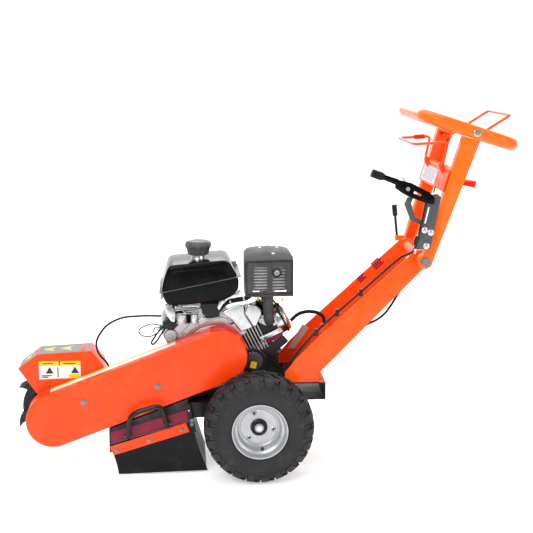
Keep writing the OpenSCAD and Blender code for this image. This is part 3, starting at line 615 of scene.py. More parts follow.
def make_wheel(side, word):
    """Pressed steel rim with a deep dish, and a hub with a plastic cap over the bearing."""
    turn = place(0, side * WHEEL_Y, AXLE_Z, along=(0, side, 0))
    node = f"wheel_{word}"

    def spot(radius, degrees, height):
        x, z = on_circle((0, AXLE_Z), radius, degrees)
        return x, side * (WHEEL_Y + height), z

    front = [(101, 69), (102.2, 71.5), (101, 73), (98, 72.6), (95.6, 69),
             (94.2, 63), (92.4, 52), (89, 47.5), (84.5, 45.5), (81, 42.5), (79.4, 37),
             (78.6, 26), (77.4, 16), (74.6, 12.6), (70.8, 12.8), (68, 11), (66.6, 7.4),
             (63, 5.6), (45, 7.2), (31.5, 8)]
    back = [(31.5, 2), (60, -1.4), (68, 1.5), (74, 3), (77, -20), (79, -30),
            (84, -38), (92, -44), (93.5, -66), (98, -71.5), (101.5, -71),
            (100, -64), (96.5, -36), (88, -30), (85, 20), (88, 32),
            (96, 42), (99, 60)]
    bosses = [place(*spot(54, degrees, 6.4), along=(0, side, 0)) for degrees in (109, 229, 349)]
    boss = [(4.4, -0.6), (4.6, 1.4), (6.4, 2.4), (9, 1.4), (11, -0.6)]
    hole = [(0, 0.7), (4.5, 0.7), (4.5, -0.4), (0, -0.4)]
    keep(f"wheel_{word}_rim_axle_end_cap", node, ZINC,
         lathe([(0, 20.4), (16, 20.4), (16.4, 21.4), (16, 23.2), (14, 23.8), (13.2, 25.6),
                (11.6, 27.4), (7, 28.2), (0, 28.2)], 32, turn))
    keep(f"wheel_{word}_rim", node, WHEEL_PAINT, lathe(front + back, 96, turn),
         *[lathe(boss, 24, at) for at in bosses], replaces=True)
    keep(f"wheel_{word}_rim_holes_and_valve", node, BLACK_PLASTIC,
         *[lathe(hole, 20, at) for at in bosses],
         rod(spot(79.5, 278, 24), spot(73, 278, 44), 4.4, 18, 1.5),
         rod(spot(80, 278, 22), spot(77.8, 278, 29), 6.6, 18, 1.5))
    keep(f"wheel_{word}_rim_hub_cap", node, GLOSS_PLASTIC,
         lathe([(0, -38), (30, -38), (31, -36), (31, 14), (30, 18), (27, 20), (24, 20.2),
                (22.5, 19.2), (21, 17.6), (0, 17.6)], 48, turn))


for side, word in ((-1, "left"), (1, "right")):
    make_tyre(side, word)
    make_wheel(side, word)

# ---------------- belt guard and hood

GUARD_LEAN = math.atan2(GUARD_REAR[1] - GUARD_FRONT[1], GUARD_REAR[0] - GUARD_FRONT[0])


def arc_points(centre, radius, first, last, steps=24):
    return [on_circle(centre, radius, first + (last - first) * i / steps)
            for i in range(steps + 1)]


def guard_outline(inset=0):
    """Outline of the guard's face, as (x, z) points that run from its front end to the rear."""
    lean = math.degrees(GUARD_LEAN)
    return (arc_points(GUARD_FRONT, GUARD_R - inset, lean + 90, lean + 270, 40)
            + arc_points(GUARD_REAR, GUARD_R - inset, lean - 90, lean + 90, 40))


def make_guard():
    """The pressed guard: a flat face, a rolled edge and a straight rim."""
    roll = 7
    levels = [(roll, GUARD_Y)]
    for i in range(1, 6):
        t = math.pi / 2 * i / 5
        levels.append((roll * (1 - math.sin(t)), GUARD_Y + roll * (1 - math.cos(t))))
    levels += [(0, BACKPLATE_Y - 1.2), (-1.4, BACKPLATE_Y - 0.8), (-1.4, BACKPLATE_Y),
               (3, BACKPLATE_Y), (3, GUARD_Y + roll), (roll, GUARD_Y + 3)]
    keep("belt_guard_shell", "belt_guard", ORANGE,
         skin([[(x, y, z) for x, z in guard_outline(inset)] for inset, y in levels]), replaces=True)


def guard_top_strip(name, y0, y1, material):
    """A thin strip on the upper straight edge of the guard's rim."""
    ring = guard_outline(-0.5)
    rear, front = Vector(ring[-1]), Vector(ring[0])
    out = Vector((math.sin(GUARD_LEAN), -math.cos(GUARD_LEAN))) * -0.4
    a, b = (front.lerp(rear, share) for share in (0.04, 0.79))
    keep(name, "belt_guard", material, slab([a, b, b + out, a + out], y0, y1))


def rim_band(name, first, last, material, lift, thick, steps):
    """A band of the guard's rim between two directions from the rear end's centre."""
    low = GUARD_R + lift
    outline = (arc_points(GUARD_REAR, low + thick, first, last, steps)
               + arc_points(GUARD_REAR, low, last, first, steps))
    keep(name, "belt_guard", material, slab(outline, GUARD_Y + 9, BACKPLATE_Y - 2))


make_guard()
guard_top_strip("guard_top_yellow_strip", -92, -72, YELLOW_LABEL)
guard_top_strip("guard_top_white_strip", -128, -93, WHITE_LABEL)
# Painted shade: the orange rim in shade, drawn as a red band over it.
rim_band("guard_rim_painted_shade_band", 110, 4, RED_PAINT_AND_PAINTED_SHADE, 0.35, 0.3, 24)
rim_band("guard_rim_weld_seam", 92, 90.6, ORANGE, 0.5, 0.9, 2)


def leaning_plate(start, end, y0, y1, thick, bevel, lift=0):
    """A thin plate on a slope that runs from start to end, seen from the side."""
    a, b = Vector(start), Vector(end)
    n = Vector((a.y - b.y, b.x - a.x)).normalized()
    a, b = a + n * lift, b + n * lift
    return slab([a, b, b + n * thick, a + n * thick], y0, y1, bevel, 1)


def hood_top(x, lift=0.15):
    """Height of the hood's top sheet at x."""
    return 437 + (x + 815) * 10 / 198 + lift


def make_hood_marks():
    """Blank plates and plain direction arrows on the hood's top and front slopes."""
    keep("hood_grey_strip", "hood", STRIP_GREY,
         *[leaning_plate((x0, hood_top(x0)), (x1, hood_top(x1)), -62, 62, 0.7, 0.15)
           for x0, x1 in ((-812, -655), (-636, -622))],
         leaning_plate((-884, 386.4), (-819, 434.3), -62, 62, 0.7, 0.15))
    arrows = []
    for x0, x1 in ((-800, -752), (-735, -687)):
        shape = [(x0, 0), (x1, -34), (x1 - 14, 0), (x1, 34)]
        arrows.append(skin([[(x, y, hood_top(x, lift)) for x, y in shape] for lift in (1.4, 0.6)]))
    run = Vector((65, 0, 47.9)).normalized()
    up = Vector((-run.z, 0, run.x))
    shape = [(14, 0), (58, -34), (46, 0), (58, 34)]
    arrows.append(skin([[Vector((-884, y, 386.4)) + run * s + up * lift for s, y in shape]
                        for lift in (1.4, 0.5)]))
    keep("hood_direction_arrows", "hood", YELLOW_LABEL, *arrows)


def make_hood_labels():
    """Blank warning plates on the hood's near side."""
    def plate(points, level=-67.9):
        return slab(points, level, -67.1, 0.2, 1)

    def mark(points, level=-68.3):
        return slab(points, level, -67.8, 0.1, 1)

    keep("hood_side_label_white", "hood", WHITE_LABEL,
         plate([(-810, 342), (-656, 346), (-656, 393), (-810, 393)]))
    keep("hood_side_label_yellow", "hood", YELLOW_LABEL,
         *[plate([(x0, 393.6), (x1, 393.6), (x1, 411), (x0, 411)])
           for x0, x1 in ((-810, -737), (-731, -656))],
         mark([(-700, 347), (-660, 348), (-660, 362), (-700, 361)], -68.4))
    triangles = [mark([(x, 364), (x + 30, 364), (x + 15, 390)]) for x in (-786, -692)]
    lines = [mark([(x0, z), (x1, z), (x1, z + 4), (x0, z + 4)]) for x0, x1, z in
             ((-796, -756, 400), (-720, -674, 400), (-800, -762, 354), (-800, -776, 348))]
    keep("hood_side_label_marks", "hood", DARK_LABEL, *triangles, *lines,
         mark([(-742, 350), (-738, 350), (-738, 388), (-742, 388)]))


make_hood_marks()
make_hood_labels()

# ---------------- cutter


def make_cutter():
    tips = []
    for k in range(6):
        turn = (Matrix.Translation((CUTTER[0], 0, CUTTER[1]))
                @ Matrix.Rotation(math.radians(38 + 60 * k), 4, "Y"))
        for y0, y1 in ((-25, -7.5), (7.5, 25)):
            tips.append(slab([(141, -7.5), (151.4, 11), (152.4, 21.5), (144.5, 16), (138, 2)],
                             y0, y1, 0.8, 1, turn=turn))
    keep("cutter_tooth_tips", "cutter_teeth", DARK_STEEL, *tips)
    bolts = []
    for k in range(3):
        x, z = on_circle(CUTTER, 41, 30 + 120 * k)
        bolts.append(hex_bolt(x, 81, z, 8, 0.5, along=(0, 1, 0)))
    keep("bearing_flange_bolts", "chassis_fasteners", ZINC, *bolts)


make_cutter()

# ---------------- deflector and flaps


def strip_z(x):
    return 190 + (x + 266) * 0.3


def under_guard_z(x):
    return 106 + (x + 720) * 0.378


def rubber_sheet(name, node, point, bulge, thick):
    """A rubber flap as a bent sheet. point gives its flat shape at (u, v), bulge the bend."""
    bm = bmesh.new()
    nu, nv = 22, 16
    faces = []
    for lift in (Vector(), Vector(thick)):
        faces.append([[bm.verts.new(Vector(point(i / nu, j / nv)) + Vector(bulge(i / nu, j / nv))
                                    + lift) for i in range(nu + 1)] for j in range(nv + 1)])
    front, back = faces
    for side in faces:
        for low, high in zip(side, side[1:]):
            for i in range(nu):
                bm.faces.new((low[i], low[i + 1], high[i + 1], high[i]))
    borders = [(front[0], back[0]), (front[nv], back[nv])]
    borders += [([row[i] for row in front], [row[i] for row in back]) for i in (0, nu)]
    for near, far in borders:
        for k in range(len(near) - 1):
            bm.faces.new((near[k], near[k + 1], far[k + 1], far[k]))
    keep(name, node, SHEET_RUBBER, bm, replaces=True)


def side_flap_point(u, v):
    """The flap hangs from the clamp strip, with a straight rear edge and a slack lower one."""
    top = Vector((-548 + 294 * u, -161, strip_z(-548 + 294 * u) - 2))
    low = Vector((-516 + 330 * u, -161, 3.5 + 3 * u + 3 * math.sin(math.pi * u)))
    p = top.lerp(low, v)
    p.x += 10 * math.sin(math.pi * v) * max(0, 0.4 - u)
    return p


def side_flap_bulge(u, v):
    """How far the rubber stands out: most low down and towards the rear."""
    low_down = 22 * v * v * (0.35 + 0.65 * math.sin(math.pi * min(1, 0.25 + u * 0.75)))
    return 0, -low_down - 5 * math.sin(math.pi * v) * u, 0


def rear_flap_point(u, v):
    return -252 + 57 * v, -147 + 293 * u, 200 - 191 * v


def rear_flap_bulge(u, v):
    return -6 * math.sin(math.pi * v) * (0.6 + 0.4 * math.sin(5 * u)), 0, 0


def make_deflector():
    rubber_sheet("side_rubber_flap", "side_flap", side_flap_point, side_flap_bulge, (0, 5, 0))
    rubber_sheet("rear_rubber_flap", "rear_flap", rear_flap_point, rear_flap_bulge, (5, 0, 0))
    left, right = under_guard_z(-550), under_guard_z(-261)
    # Painted shade: the deflector's plates in shadow under the guard, drawn as black sheets.
    keep("deflector_plates_painted_shade", "deflector_box", BLACK_PAINT_AND_PAINTED_SHADE,
         slab([(-550, strip_z(-550) - 26), (-550, left), (-256, under_guard_z(-256)),
               (-256, strip_z(-256) - 26)], -156, -152, 0.8, 1),
         slab([(-550, left - 4), (-550, left), (-261, right), (-261, right - 4)],
              -152.5, -63, 0.8, 1),
         slab([(-247, 200), (-248.5, 205), (-242, 205), (-226, 150), (-232, 150)],
              -152, 146, 0.8, 1), replaces=True)
    # Painted highlight: the light along the deflector's bend, drawn as a thin grey strip.
    keep("deflector_edge_painted_highlight", "deflector_box", PLATE_GREY_AND_PAINTED_HIGHLIGHT,
         slab([(-545, 114.5), (-545, 119), (-258, 193), (-258, 188.5)], -161, -156.2, 0.6))
    # The orange deflector plate in shade, painted dark crimson: painted shade.
    keep("deflector_crimson_plate_painted_shade", "deflector_box", RED_PAINTED_SHADE_REFLECTION_AND_PRINT,
         slab([(-544, 118), (-544, 158), (-262, 238), (-258, 190)], -157.2, -156.2, 0.3, 1))
    keep("deflector_return_plate", "deflector_box", BLACK_PAINT_AND_PAINTED_SHADE,
         slab([(-264, 262), (-248, 262), (-236, 205), (-228, 158), (-258, 146), (-258, 200)],
              -161, -156.2, 0.8))
    keep("deflector_return_bolt", "chassis_fasteners", ZINC,
         hex_bolt(-254, -160.8, 238, 7, washer=False))


def make_carry_handle():
    """A satin bar on two bolted feet."""
    feet = ((-480, 144), (-334, 186))
    keep("carry_handle_bar", "carry_handle", GLOSS_PLASTIC,
         tube([(-480, -157, 144), (-480, -178, 144), (-470, -198, 226), (-450, -200, 246),
               (-372, -200, 268), (-350, -200, 258), (-334, -178, 186), (-334, -157, 186)],
              9.8, 20, 18, 7), replaces=True)
    keep("carry_handle_feet", "carry_handle", GLOSS_PLASTIC,
         *[slab([(x - 15, z - 13), (x + 15, z - 7), (x + 15, z + 13), (x - 15, z + 7)],
                -160.5, -156.2, 1.5, 3) for x, z in feet])
    keep("carry_handle_foot_bolts", "chassis_fasteners", ZINC,
         *[hex_bolt(x + d, -160.3, z + d * 0.15, 6.5, washer=False)
           for x, z in feet for d in (-9, 9)])


make_deflector()
make_carry_handle()

# ---------------- rear arm


def make_arm_details():
    marks = []
    run = Vector((0.735, 0.678))
    across = Vector((-0.678, 0.735))
    for start, length, rows in (((489, 703), 46, 4), ((428, 652), 34, 3)):
        for k in range(rows):
            a = Vector(start) + across * (9 * k)
            c = a + run * (length - 8 * (k % 2))
            marks.append(slab([a, c, c + across * 6, a + across * 6], 139.4, 140.2, 0.1, 1))
    keep("arm_inner_label_marks", "arm_channel", RED_PAINTED_SHADE_REFLECTION_AND_PRINT, *marks)
    keep("arm_inner_grey_label", "arm_channel", GREY_LABEL,
         slab([(139, 391), (168, 391), (224, 473), (200, 490)], 139.6, 140.6, 0.2, 1))
    keep("arm_cable_clips", "arm_channel", BLACK_PLASTIC,
         *[box((x - 7, x + 7), (-141, -125), (z - 4, z + 22), 1.5)
           for x, z in ((388, 660), (300, 585), (222, 512))])


make_arm_details()

# ---------------- engine

# Local Z runs up the leaning cylinder from the crankshaft, local X runs down across it.
ON_CYLINDER = (Matrix.Translation((CRANK[0], 0, CRANK[1]))
               @ Matrix.Rotation(math.radians(90 - CYLINDER_TILT), 4, "Y"))


def cylinder_block(half_x, half_y, z0, z1, corner, bevel):
    """A block across the cylinder with rounded corners and eased edges."""
    flat = [(-half_x, -half_y), (half_x, -half_y), (half_x, half_y), (-half_x, half_y)]
    upright = Matrix.Rotation(math.radians(90), 4, "X")
    return slab(flat, z0, z1, bevel, corner=corner, turn=ON_CYLINDER @ upright)


def arc_band(inner, outer, first, last, y0, y1, bevel):
    return slab(arc_points(CRANK, outer, first, last) + arc_points(CRANK, inner, last, first),
                y0, y1, bevel)


def make_crankcase():
    ears = ((-318, 500, 25), (-92, 552, 16))
    keep("crankcase_joint_flange", "crankcase", CAST_ALU,
         arc_band(114.5, 147, 34, 152, -66.5, -57.5, 2.2),
         arc_band(128, 133, 40, 148, -68.4, -66, 0.8),
         *[lathe([(0, 0), (r, 0), (r, 6), (r - 3, 9), (0, 9)], 28, place(x, -57.5, z))
           for x, z, r in ears])
    spots = [on_circle(CRANK, 140, angle) for angle in (42, 66, 92, 118, 144)]
    keep("crankcase_flange_bolts", "chassis_fasteners", ZINC,
         *[hex_bolt(x, -66.3, z, 9, 0.5) for x, z in spots + [ear[:2] for ear in ears]])
    ribs = [box((x - 2.2, x + 2.2), (-66, -57), (548, 598), 1.2)
            for x in (-262, -236, -196, -172, -150)]
    for x, r in ((-277, 19), (-229, 14)):
        ribs.append(rod((x, -74, 553), (x, -74, 584), r, 32, 2))
        ribs.append(rod((x, -74, 550), (x, -74, 556), r + 3, 32, 1.5))
    keep("crankcase_ribs_and_bosses", "crankcase", CAST_ALU, *ribs,
         rod((-185, -88, 563), (-185, -60, 563), 9, 24, 2))


def coil(start, end, radius, wire, turns):
    """A small extension spring between two points."""
    a, b = Vector(start), Vector(end)
    side = (b - a).cross(Vector((0, 1, 0))).normalized()
    other = (b - a).normalized().cross(side)
    steps = turns * 10
    points = []
    for k in range(steps + 1):
        t = 2 * math.pi * k / 10
        points.append(a.lerp(b, k / steps) + radius * (math.cos(t) * side + math.sin(t) * other))
    return tube(points, wire, 6)


def make_governor():
    """The links, springs and brackets that show between the tank and the crankcase."""
    rods = (((-300, -84, 600), (-214, -84, 612), 1.8), ((-292, -86, 588), (-212, -86, 590), 1.5),
            ((-288, -90, 628), (-262, -86, 586), 1.6), ((-246, -90, 628), (-252, -84, 590), 1.6))
    keep("governor_links_and_springs", "crankcase", SHEET_ALU,
         slab([(-338, 628), (-320, 630), (-299, 592), (-302, 557), (-316, 560), (-336, 594)],
              -86, -83, 0.8, corner=5),
         slab([(-136, 600), (-124, 622), (-102, 643), (-70, 648), (-54, 668), (-60, 680),
               (-76, 664), (-108, 658), (-132, 640), (-144, 612)], -92, -88, 1, corner=4),
         slab([(-302, 618), (-212, 622), (-208, 610), (-298, 603)], -80, -77, 0.8, corner=4),
         *[rod(a, b, r, 10, 0.4) for a, b, r in rods],
         coil((-296, -89, 611), (-238, -89, 606), 4.2, 0.9, 14),
         coil((-258, -90, 597), (-211, -90, 601), 3.4, 0.8, 12), angle=40)
    keep("governor_screws", "chassis_fasteners", ZINC,
         *[hex_bolt(*at, 6.5, 0.5) for at in (
             (-329, -86, 618), (-308, -86, 572), (-116, -92, 636), (-66, -92, 664),
             (-294, -80, 612), (-218, -80, 616), (-185, -88, 563))])
    keep("intake_elbow", "crankcase", BLACK_PLASTIC,
         slab([(-207, 626), (-134, 628), (-134, 578), (-168, 568), (-198, 584)], -86, -60, 3, 3,
              corner=6),
         *[box((-200, -142), (-87.5, -84), (z - 1.4, z + 1.4), 0.6, 1) for z in (592, 602, 612)])


def make_hoses():
    keep("breather_hose", "crankcase", SHEET_RUBBER,
         tube([(-138, -70, 596), (-118, -70, 622), (-88, -66, 632), (-34, -62, 639),
               (-12, -54, 652)], 9.5, 18, 16))
    keep("breather_hose_clamps", "crankcase", ZINC,
         *[lathe([(9.6, -3), (11, -3), (11, 3), (9.6, 3)], 24, place(*at, along))
           for at, along in (((-96, -67, 629.6), (54, 6, 8)), ((-44, -63, 637.4), (54, 4, 7)))])
    keep("wiring_tie", "crankcase", GREEN_PLASTIC,
         tube([(-334, -62, 532), (-352, -66, 526), (-366, -64, 537), (-378, -62, 530),
               (-384, -58, 512)], 2.6, 10, 8, 5),
         lathe([(5.2, -4), (7.4, -4), (7.4, 4), (5.2, 4)], 20,
               place(-354, -57, 532, along=(1, 0.2, 0.1))))
    keep("ignition_leads_and_block", "crankcase", BLACK_PLASTIC,
         tube([(-340, -66, 540), (-354, -66, 530), (-374, -66, 503), (-392, -66, 474),
               (-384, -66, 467), (-368, -66, 484), (-348, -66, 516), (-338, -66, 528)],
              3.4, 12, 6, 5),
         slab([(-346, 556), (-326, 568), (-314, 556), (-292, 560), (-286, 546), (-308, 524),
               (-334, 528), (-348, 540)], -76, -57, 2.5, 3, corner=5))


def make_cylinder():
    keep("cylinder_fins", "cylinder_barrel", CAST_ALU,
         *[cylinder_block(72, 65, z, z + 3.6, 12, 0.9) for z in range(122, 195, 12)],
         replaces=True)
    keep("cylinder_core", "cylinder_barrel", BLACK_CAST_AND_PAINTED_SHADE,
         lathe([(0, 118), (50, 118), (50, 200), (0, 200)], 48, ON_CYLINDER))
    keep("cylinder_head_casting", "cylinder_head", BLACK_CAST_AND_PAINTED_SHADE,
         *[cylinder_block(62, 60, z, z + 3.8, 10, 0.9) for z in range(204, 253, 12)],
         cylinder_block(42, 58, 200, 262, 10, 2.5),
         # Painted shade: the underside of the cylinder head in shadow, drawn as a black block.
         slab([(30, 452), (58, 462), (107, 492), (126, 470), (66, 418), (30, 428)],
              -60, -46, 2.5, 3, corner=5), replaces=True)
    lugs = []
    for k in range(4):
        at = Matrix.Translation((*on_circle((0, 0), 47, 45 + 90 * k), 308.5))
        lugs.append(lathe([(0, -2), (7, -2), (6.4, 1), (3.6, 1.4), (3.4, 3.2), (0, 3.2)], 6,
                          ON_CYLINDER @ at))
    keep("valve_cover_casting", "valve_cover", SHEET_ALU,
         lathe([(0, 262), (60, 262), (60.5, 265), (59, 268), (57.5, 284), (57.5, 289), (57, 298),
                (55.5, 304), (51, 308.5), (42, 311), (24, 311.8), (0, 311.8)], 72, ON_CYLINDER),
         *lugs, cylinder_block(20, 30, 310.8, 311.9, 8, 0.4), replaces=True)
    keep("valve_cover_gasket", "valve_cover", BLACK_PAINT_AND_PAINTED_SHADE,
         lathe([(56, 289), (61.5, 289), (62, 291), (62, 294), (61.5, 296), (56, 296)], 72,
               ON_CYLINDER))
    keep("cylinder_side_cover_bar", "valve_cover", SHEET_ALU,
         slab([(12, 487), (95, 527), (104, 511), (27, 474)], -72, -60, 3, 3, corner=5))
    keep("cylinder_side_cover_bolts", "chassis_fasteners", ZINC,
         hex_bolt(27, -71.8, 484, 7, 0.4), hex_bolt(91, -71.8, 515, 7, 0.4))
    # A painted reflection of the orange guard, drawn as a thin dark crimson strip below the side
    # cover bar.
    keep("cylinder_side_cover_painted_reflection", "cylinder_head", RED_PAINTED_SHADE_REFLECTION_AND_PRINT,
         slab([(29, 473), (101, 509), (106, 493), (40, 459)], -63, -59, 1, corner=4))
    keep("cylinder_shroud", "cylinder_barrel", SHEET_ALU,
         slab([(-128, 588), (-98, 604), (-58, 619), (-45, 614), (-41, 580), (-10, 530),
               (-58, 513), (-88, 560)], -77, -57, 7, 5, corner=9),
         slab([(-42, 586), (-29, 620), (-2, 618), (26, 588), (2, 533), (-9, 530)],
              -79, -57, 8, 5, corner=9), angle=50)


def make_exhaust():
    keep("exhaust_elbow", "muffler", DARK_HEAT,
         tube([(48, -78, 672), (48, -78, 578), (52, -70, 552), (58, -58, 545)], 19, 26, 26, 8))
    keep("exhaust_flange", "muffler", CAST_ALU,
         slab([(10, 566), (30, 574), (56, 566), (80, 550), (80, 536), (60, 530), (34, 534),
               (10, 549)], -66, -58, 2, 3, corner=7))
    keep("exhaust_flange_nuts", "chassis_fasteners", ZINC,
         *[hex_bolt(x, -66, z, 11, 0.8) for x, z in ((22, 559), (70, 541))])
    keep("muffler_body", "muffler", SILVER_HEAT,
         box((-15, 115), (-100, -4), (672, 778), 12, 4),
         box((-16, 116), (-54, -50), (671, 779), 1.5),
         *[rod((x, -20, 777), (x, -20, 814), 6, 18) for x in (20, 80)], replaces=True)
    keep("muffler_outlet_pipe", "muffler", SHEET_ALU,
         lathe([(7, -2), (9, -2), (9, 26), (7, 26), (7, 4), (0, 4), (0, 2), (7, 2)], 32,
               place(76, -100, 746), closed=False))
    outer = rounded_outline([(-39.5, 660), (-39.5, 790), (137.5, 794), (137.5, 664)], 10)
    inner = rounded_outline([(-33, 666), (-33, 783), (131, 787), (131, 670)], 7)
    rim = [[(x, y, z) for x, z in outline] for outline, y in
           ((outer, -117.6), (outer, -119.8), (inner, -119.8), (inner, -117.6))]
    keep("muffler_guard_rim_and_ring", "muffler_guard", DARK_RIM,
         lathe([(11, 0), (18, 0), (18.5, 2), (16, 3.6), (12.5, 3.4), (11, 2)], 40,
               place(76, -118, 746)), skin(rim, closed=True))
    keep("muffler_guard_screws", "muffler_guard", ZINC,
         *[lathe([(0, -2), (7, -2), (7, 0.6), (4.5, 2.6), (0, 3)], 20,
                 place(*at, along=(0, -0.3, 1)))
           for at in ((20, -20, 823), (84, -20, 823), (66, -74, 809))],
         *[lathe([(0, -5), (5, -5), (5, 0.4), (0, 1)], 16, place(x, -112, z))
           for x, z in ((-12, 655), (118, 658))])


def make_tank():
    keep("fuel_tank_shell", "fuel_tank", BLACK_GLOSS,
         slab([(-350, 680), (-341, 722), (-326, 766), (-312, 777), (-116, 794), (-97, 786),
               (-63, 720), (-66, 678), (-92, 656), (-128, 639), (-200, 632), (-318, 626),
               (-336, 638)], -120, 130, 13, 6, corner=16, steps=6),
         slab([(-318, 748), (-300, 756), (-124, 768), (-95, 728), (-97, 668), (-130, 650),
               (-200, 645), (-316, 638), (-330, 660)], -123.5, -116, 3.2, 4, corner=9),
         replaces=True, angle=60)
    # The seam flange's grey is a painted highlight along the black tank's seam.
    keep("fuel_tank_seam_flange", "fuel_tank", SEAM_PAINTED_HIGHLIGHT,
         slab([(-357, 673.8), (-357, 676.6), (-56, 736.1), (-56, 733.3)], -126, 135, 0.8))
    keep("fuel_tank_neck_ring", "fuel_tank", SHEET_ALU,
         lathe([(0, 776), (29, 776), (29, 783), (27.5, 786), (26, 800), (0, 800)], 48,
               Matrix.Translation((-211, -20, 0))))
    keep("fuel_tank_feet", "fuel_tank", BLACK_PAINT_AND_PAINTED_SHADE,
         *[box((x - 12, x + 12), (-44, 64), (600, 634), 3) for x in (-300, -140)])
    keep("fuel_tank_far_brackets", "fuel_tank", CAST_ALU,
         slab([(-86, 752), (-64, 752), (-54, 702), (-70, 690)], 108, 128, 1.5, corner=4),
         slab([(-354, 690), (-346, 690), (-346, 610), (-358, 604)], 96, 128, 1.5, corner=3))


def make_cap():
    """A screw cap with eight lobes round a skirt that narrows towards the neck."""
    levels = [(803, 24, 0), (801, 33, 0.8), (803, 37, 2.2), (812, 39, 3), (824, 41, 3.4),
              (829, 44.5, 3.6), (832, 47, 2.4), (840, 47.8, 1.6), (847, 46.5, 1.2),
              (851, 43, 0.6), (853, 36, 0), (851.5, 33, 0), (851.5, 12, 0)]
    rings = []
    for z, radius, lobe in levels:
        reach = [(t, radius + lobe * (abs(math.cos(4 * t)) * 1.6 - 1)) for t in around(96)]
        rings.append([(-211 + r * math.cos(t), -20 + r * math.sin(t), z) for t, r in reach])
    keep("fuel_cap_lobed", "fuel_cap", DARK_GREY_PLASTIC, skin(rings), replaces=True, angle=40)


def make_far_side():
    """Fan housing bolts, starter badge and air cleaner, away from the belts."""
    spots = [(*on_circle(CRANK, 118, 30 + 60 * k), 134) for k in range(6)]
    spots += [(*on_circle(CRANK, 88, 90 + 120 * k), 160) for k in range(3)]
    keep("fan_housing_bolts", "chassis_fasteners", ZINC,
         *[hex_bolt(x, y, z, 8, 0.5, along=(0, 1, 0)) for x, z, y in spots if z > 310])
    keep("starter_cover_centre_badge", "recoil_cover", STRIP_GREY,
         lathe([(0, 169), (30, 169), (30, 170.6), (26, 172), (0, 172)], 40,
               place(CRANK[0], 0, CRANK[1], along=(0, 1, 0))))
    keep("air_cleaner_housing", "air_cleaner", BLACK_PLASTIC,
         box((-20, 112), (24, 150), (662, 728), 10, 4),
         box((-22, 114), (22, 152), (728, 738), 3, 3),
         box((-12, 104), (32, 142), (736, 746), 4, 3),
         *[box((x - 3, x + 3), (147, 151.5), (676, 716), 1.4) for x in range(-4, 93, 24)],
         replaces=True)
    keep("air_cleaner_knob", "air_cleaner", GLOSS_PLASTIC,
         lathe([(0, 740), (13, 740), (14, 744), (12, 745.9), (0, 746)], 24,
               Matrix.Translation((46, 87, 0))))


def make_filler_and_tags():
    at = place(-8, -59, 396)
    keep("oil_filler_ring", "oil_filler_cap", BLACK_PLASTIC,
         lathe([(38, 0), (49, 0), (50, 2), (50, 9), (47, 12), (42, 12), (39, 9)], 56, at))
    keep("oil_filler_disc", "oil_filler_cap", DARK_GREY_PLASTIC,
         lathe([(0, 0), (39, 0), (38, 4), (30, 6), (0, 7)], 48, at))
    keep("engine_yellow_tags", "valve_cover", YELLOW_PLASTIC,
         slab([(-23, 376), (-17, 400), (5, 396), (1, 372)], -84, -82.2, 0.5, 1),
         slab([(95, 627), (102, 640), (108, 638), (103, 625)], -64, -62, 0.4, 1),
         slab([(6, 630), (6, 648), (13, 646), (13, 628)], -66, -64, 0.4, 1))
    keep("spark_lead", "spark_plug", CABLE_SHEATH,
         tube([(-20, 20, 628), (30, -40, 640), (74, -58, 628), (80, -62, 594), (104, -62, 556),
               (112, -60, 545)], 3.4, 12, 16))


make_crankcase()
make_governor()
make_hoses()
make_cylinder()
make_exhaust()
make_tank()
make_cap()
make_far_side()
make_filler_and_tags()

# ---------------- cables

# Each cable's radius, corner radius and route, which repeats the part's own points.
CABLES = {
    "throttle_cable": (4, 30, [
        (-352.4, -40, 572), (-372, -40, 572), (-403, -40, 574), (-498, -40, 570), (-560, -40, 540),
        (-600, -40, 480), (-592, -40, 430), (-555, -40, 392), (-545, -40, 350), (-528, -40, 285)]),
    "harness_cable": (7, 20, [
        (143, 40, 527), (172, 46, 553), (208, 50, 561), (246, 54, 556), (272, 60, 540),
        (276, 60, 512.5)]),
    "clutch_cable": (4.5, 24, [
        (584, -214, 886), (574, -213, 852), (568, -190, 828), (540, -140, 806), (500, -133, 772),
        (399, -134, 682), (300, -134, 595), (222, -134, 524), (160, -134, 455), (118, -132, 398),
        (96, -128, 350), (86, -110, 318), (70, -80, 300), (40, -66, 299)]),
    "lower_cable": (4.5, 20, [
        (558, -96, 690), (538, -100, 664), (512, -104, 620), (484, -106, 580), (452, -104, 556),
        (424, -100, 543), (402, -98, 530)]),
    "stop_wire": (2.2, 12, [
        (-353, -50, 538), (-392, -64, 548), (-429, -70, 534), (-439, -70, 518), (-422, -68, 501),
        (-393, -64, 498), (-370, -54, 508), (-353, -50, 522)]),
}
# Where the clutch cable would bend, beside the pivot on which the handle folds; the script only bakes
# this run in place.
CABLE_BEND = {"clutch_cable": ("chassis", "handle", metres(536, -140, 800), metres(576, -140, 842))}

for name, (radius, corner, route) in CABLES.items():
    line = rounded_path(route, corner, 8)
    piece = keep(f"{name}_run", name, CONDUIT if name == "harness_cable" else CABLE_SHEATH,
                 tube(line, radius, 16), replaces=True, bends=CABLE_BEND.get(name, ()))

# ---------------- handle


def set_back(*points):
    """Moves points drawn from the handle's own pivot to where the handle stands."""
    return [(p[0] + HANDLE_SETBACK, *p[1:]) for p in points]


def panel_plate(y0, y1, z0, z1, lift0, lift1):
    """A plate between two distances from the front of the leaning cross panel."""
    slope = 23 / 75
    n = Vector((-1, 0, slope)).normalized()
    corners = [Vector((657 + HANDLE_SETBACK + (z - 1053) * slope, y, z))
               for y, z in ((y0, z0), (y1, z0), (y1, z1), (y0, z1))]
    return skin([[p + n * lift for p in corners] for lift in (lift0, lift1)])


def make_panel_labels():
    keep("cross_panel_grey_label", "cross_panel", GREY_LABEL,
         panel_plate(-52, 190, 1060, 1116, 0.3, 0.9))
    lines = []
    for k in range(6):
        z = 1108 - 8 * k
        lines.append(panel_plate(-38 + 10 * (k % 3), 176 - 18 * (k % 2), z, z + 2.2, 0.9, 1.1))
    keep("cross_panel_label_lines", "cross_panel", STRIP_GREY, *lines)


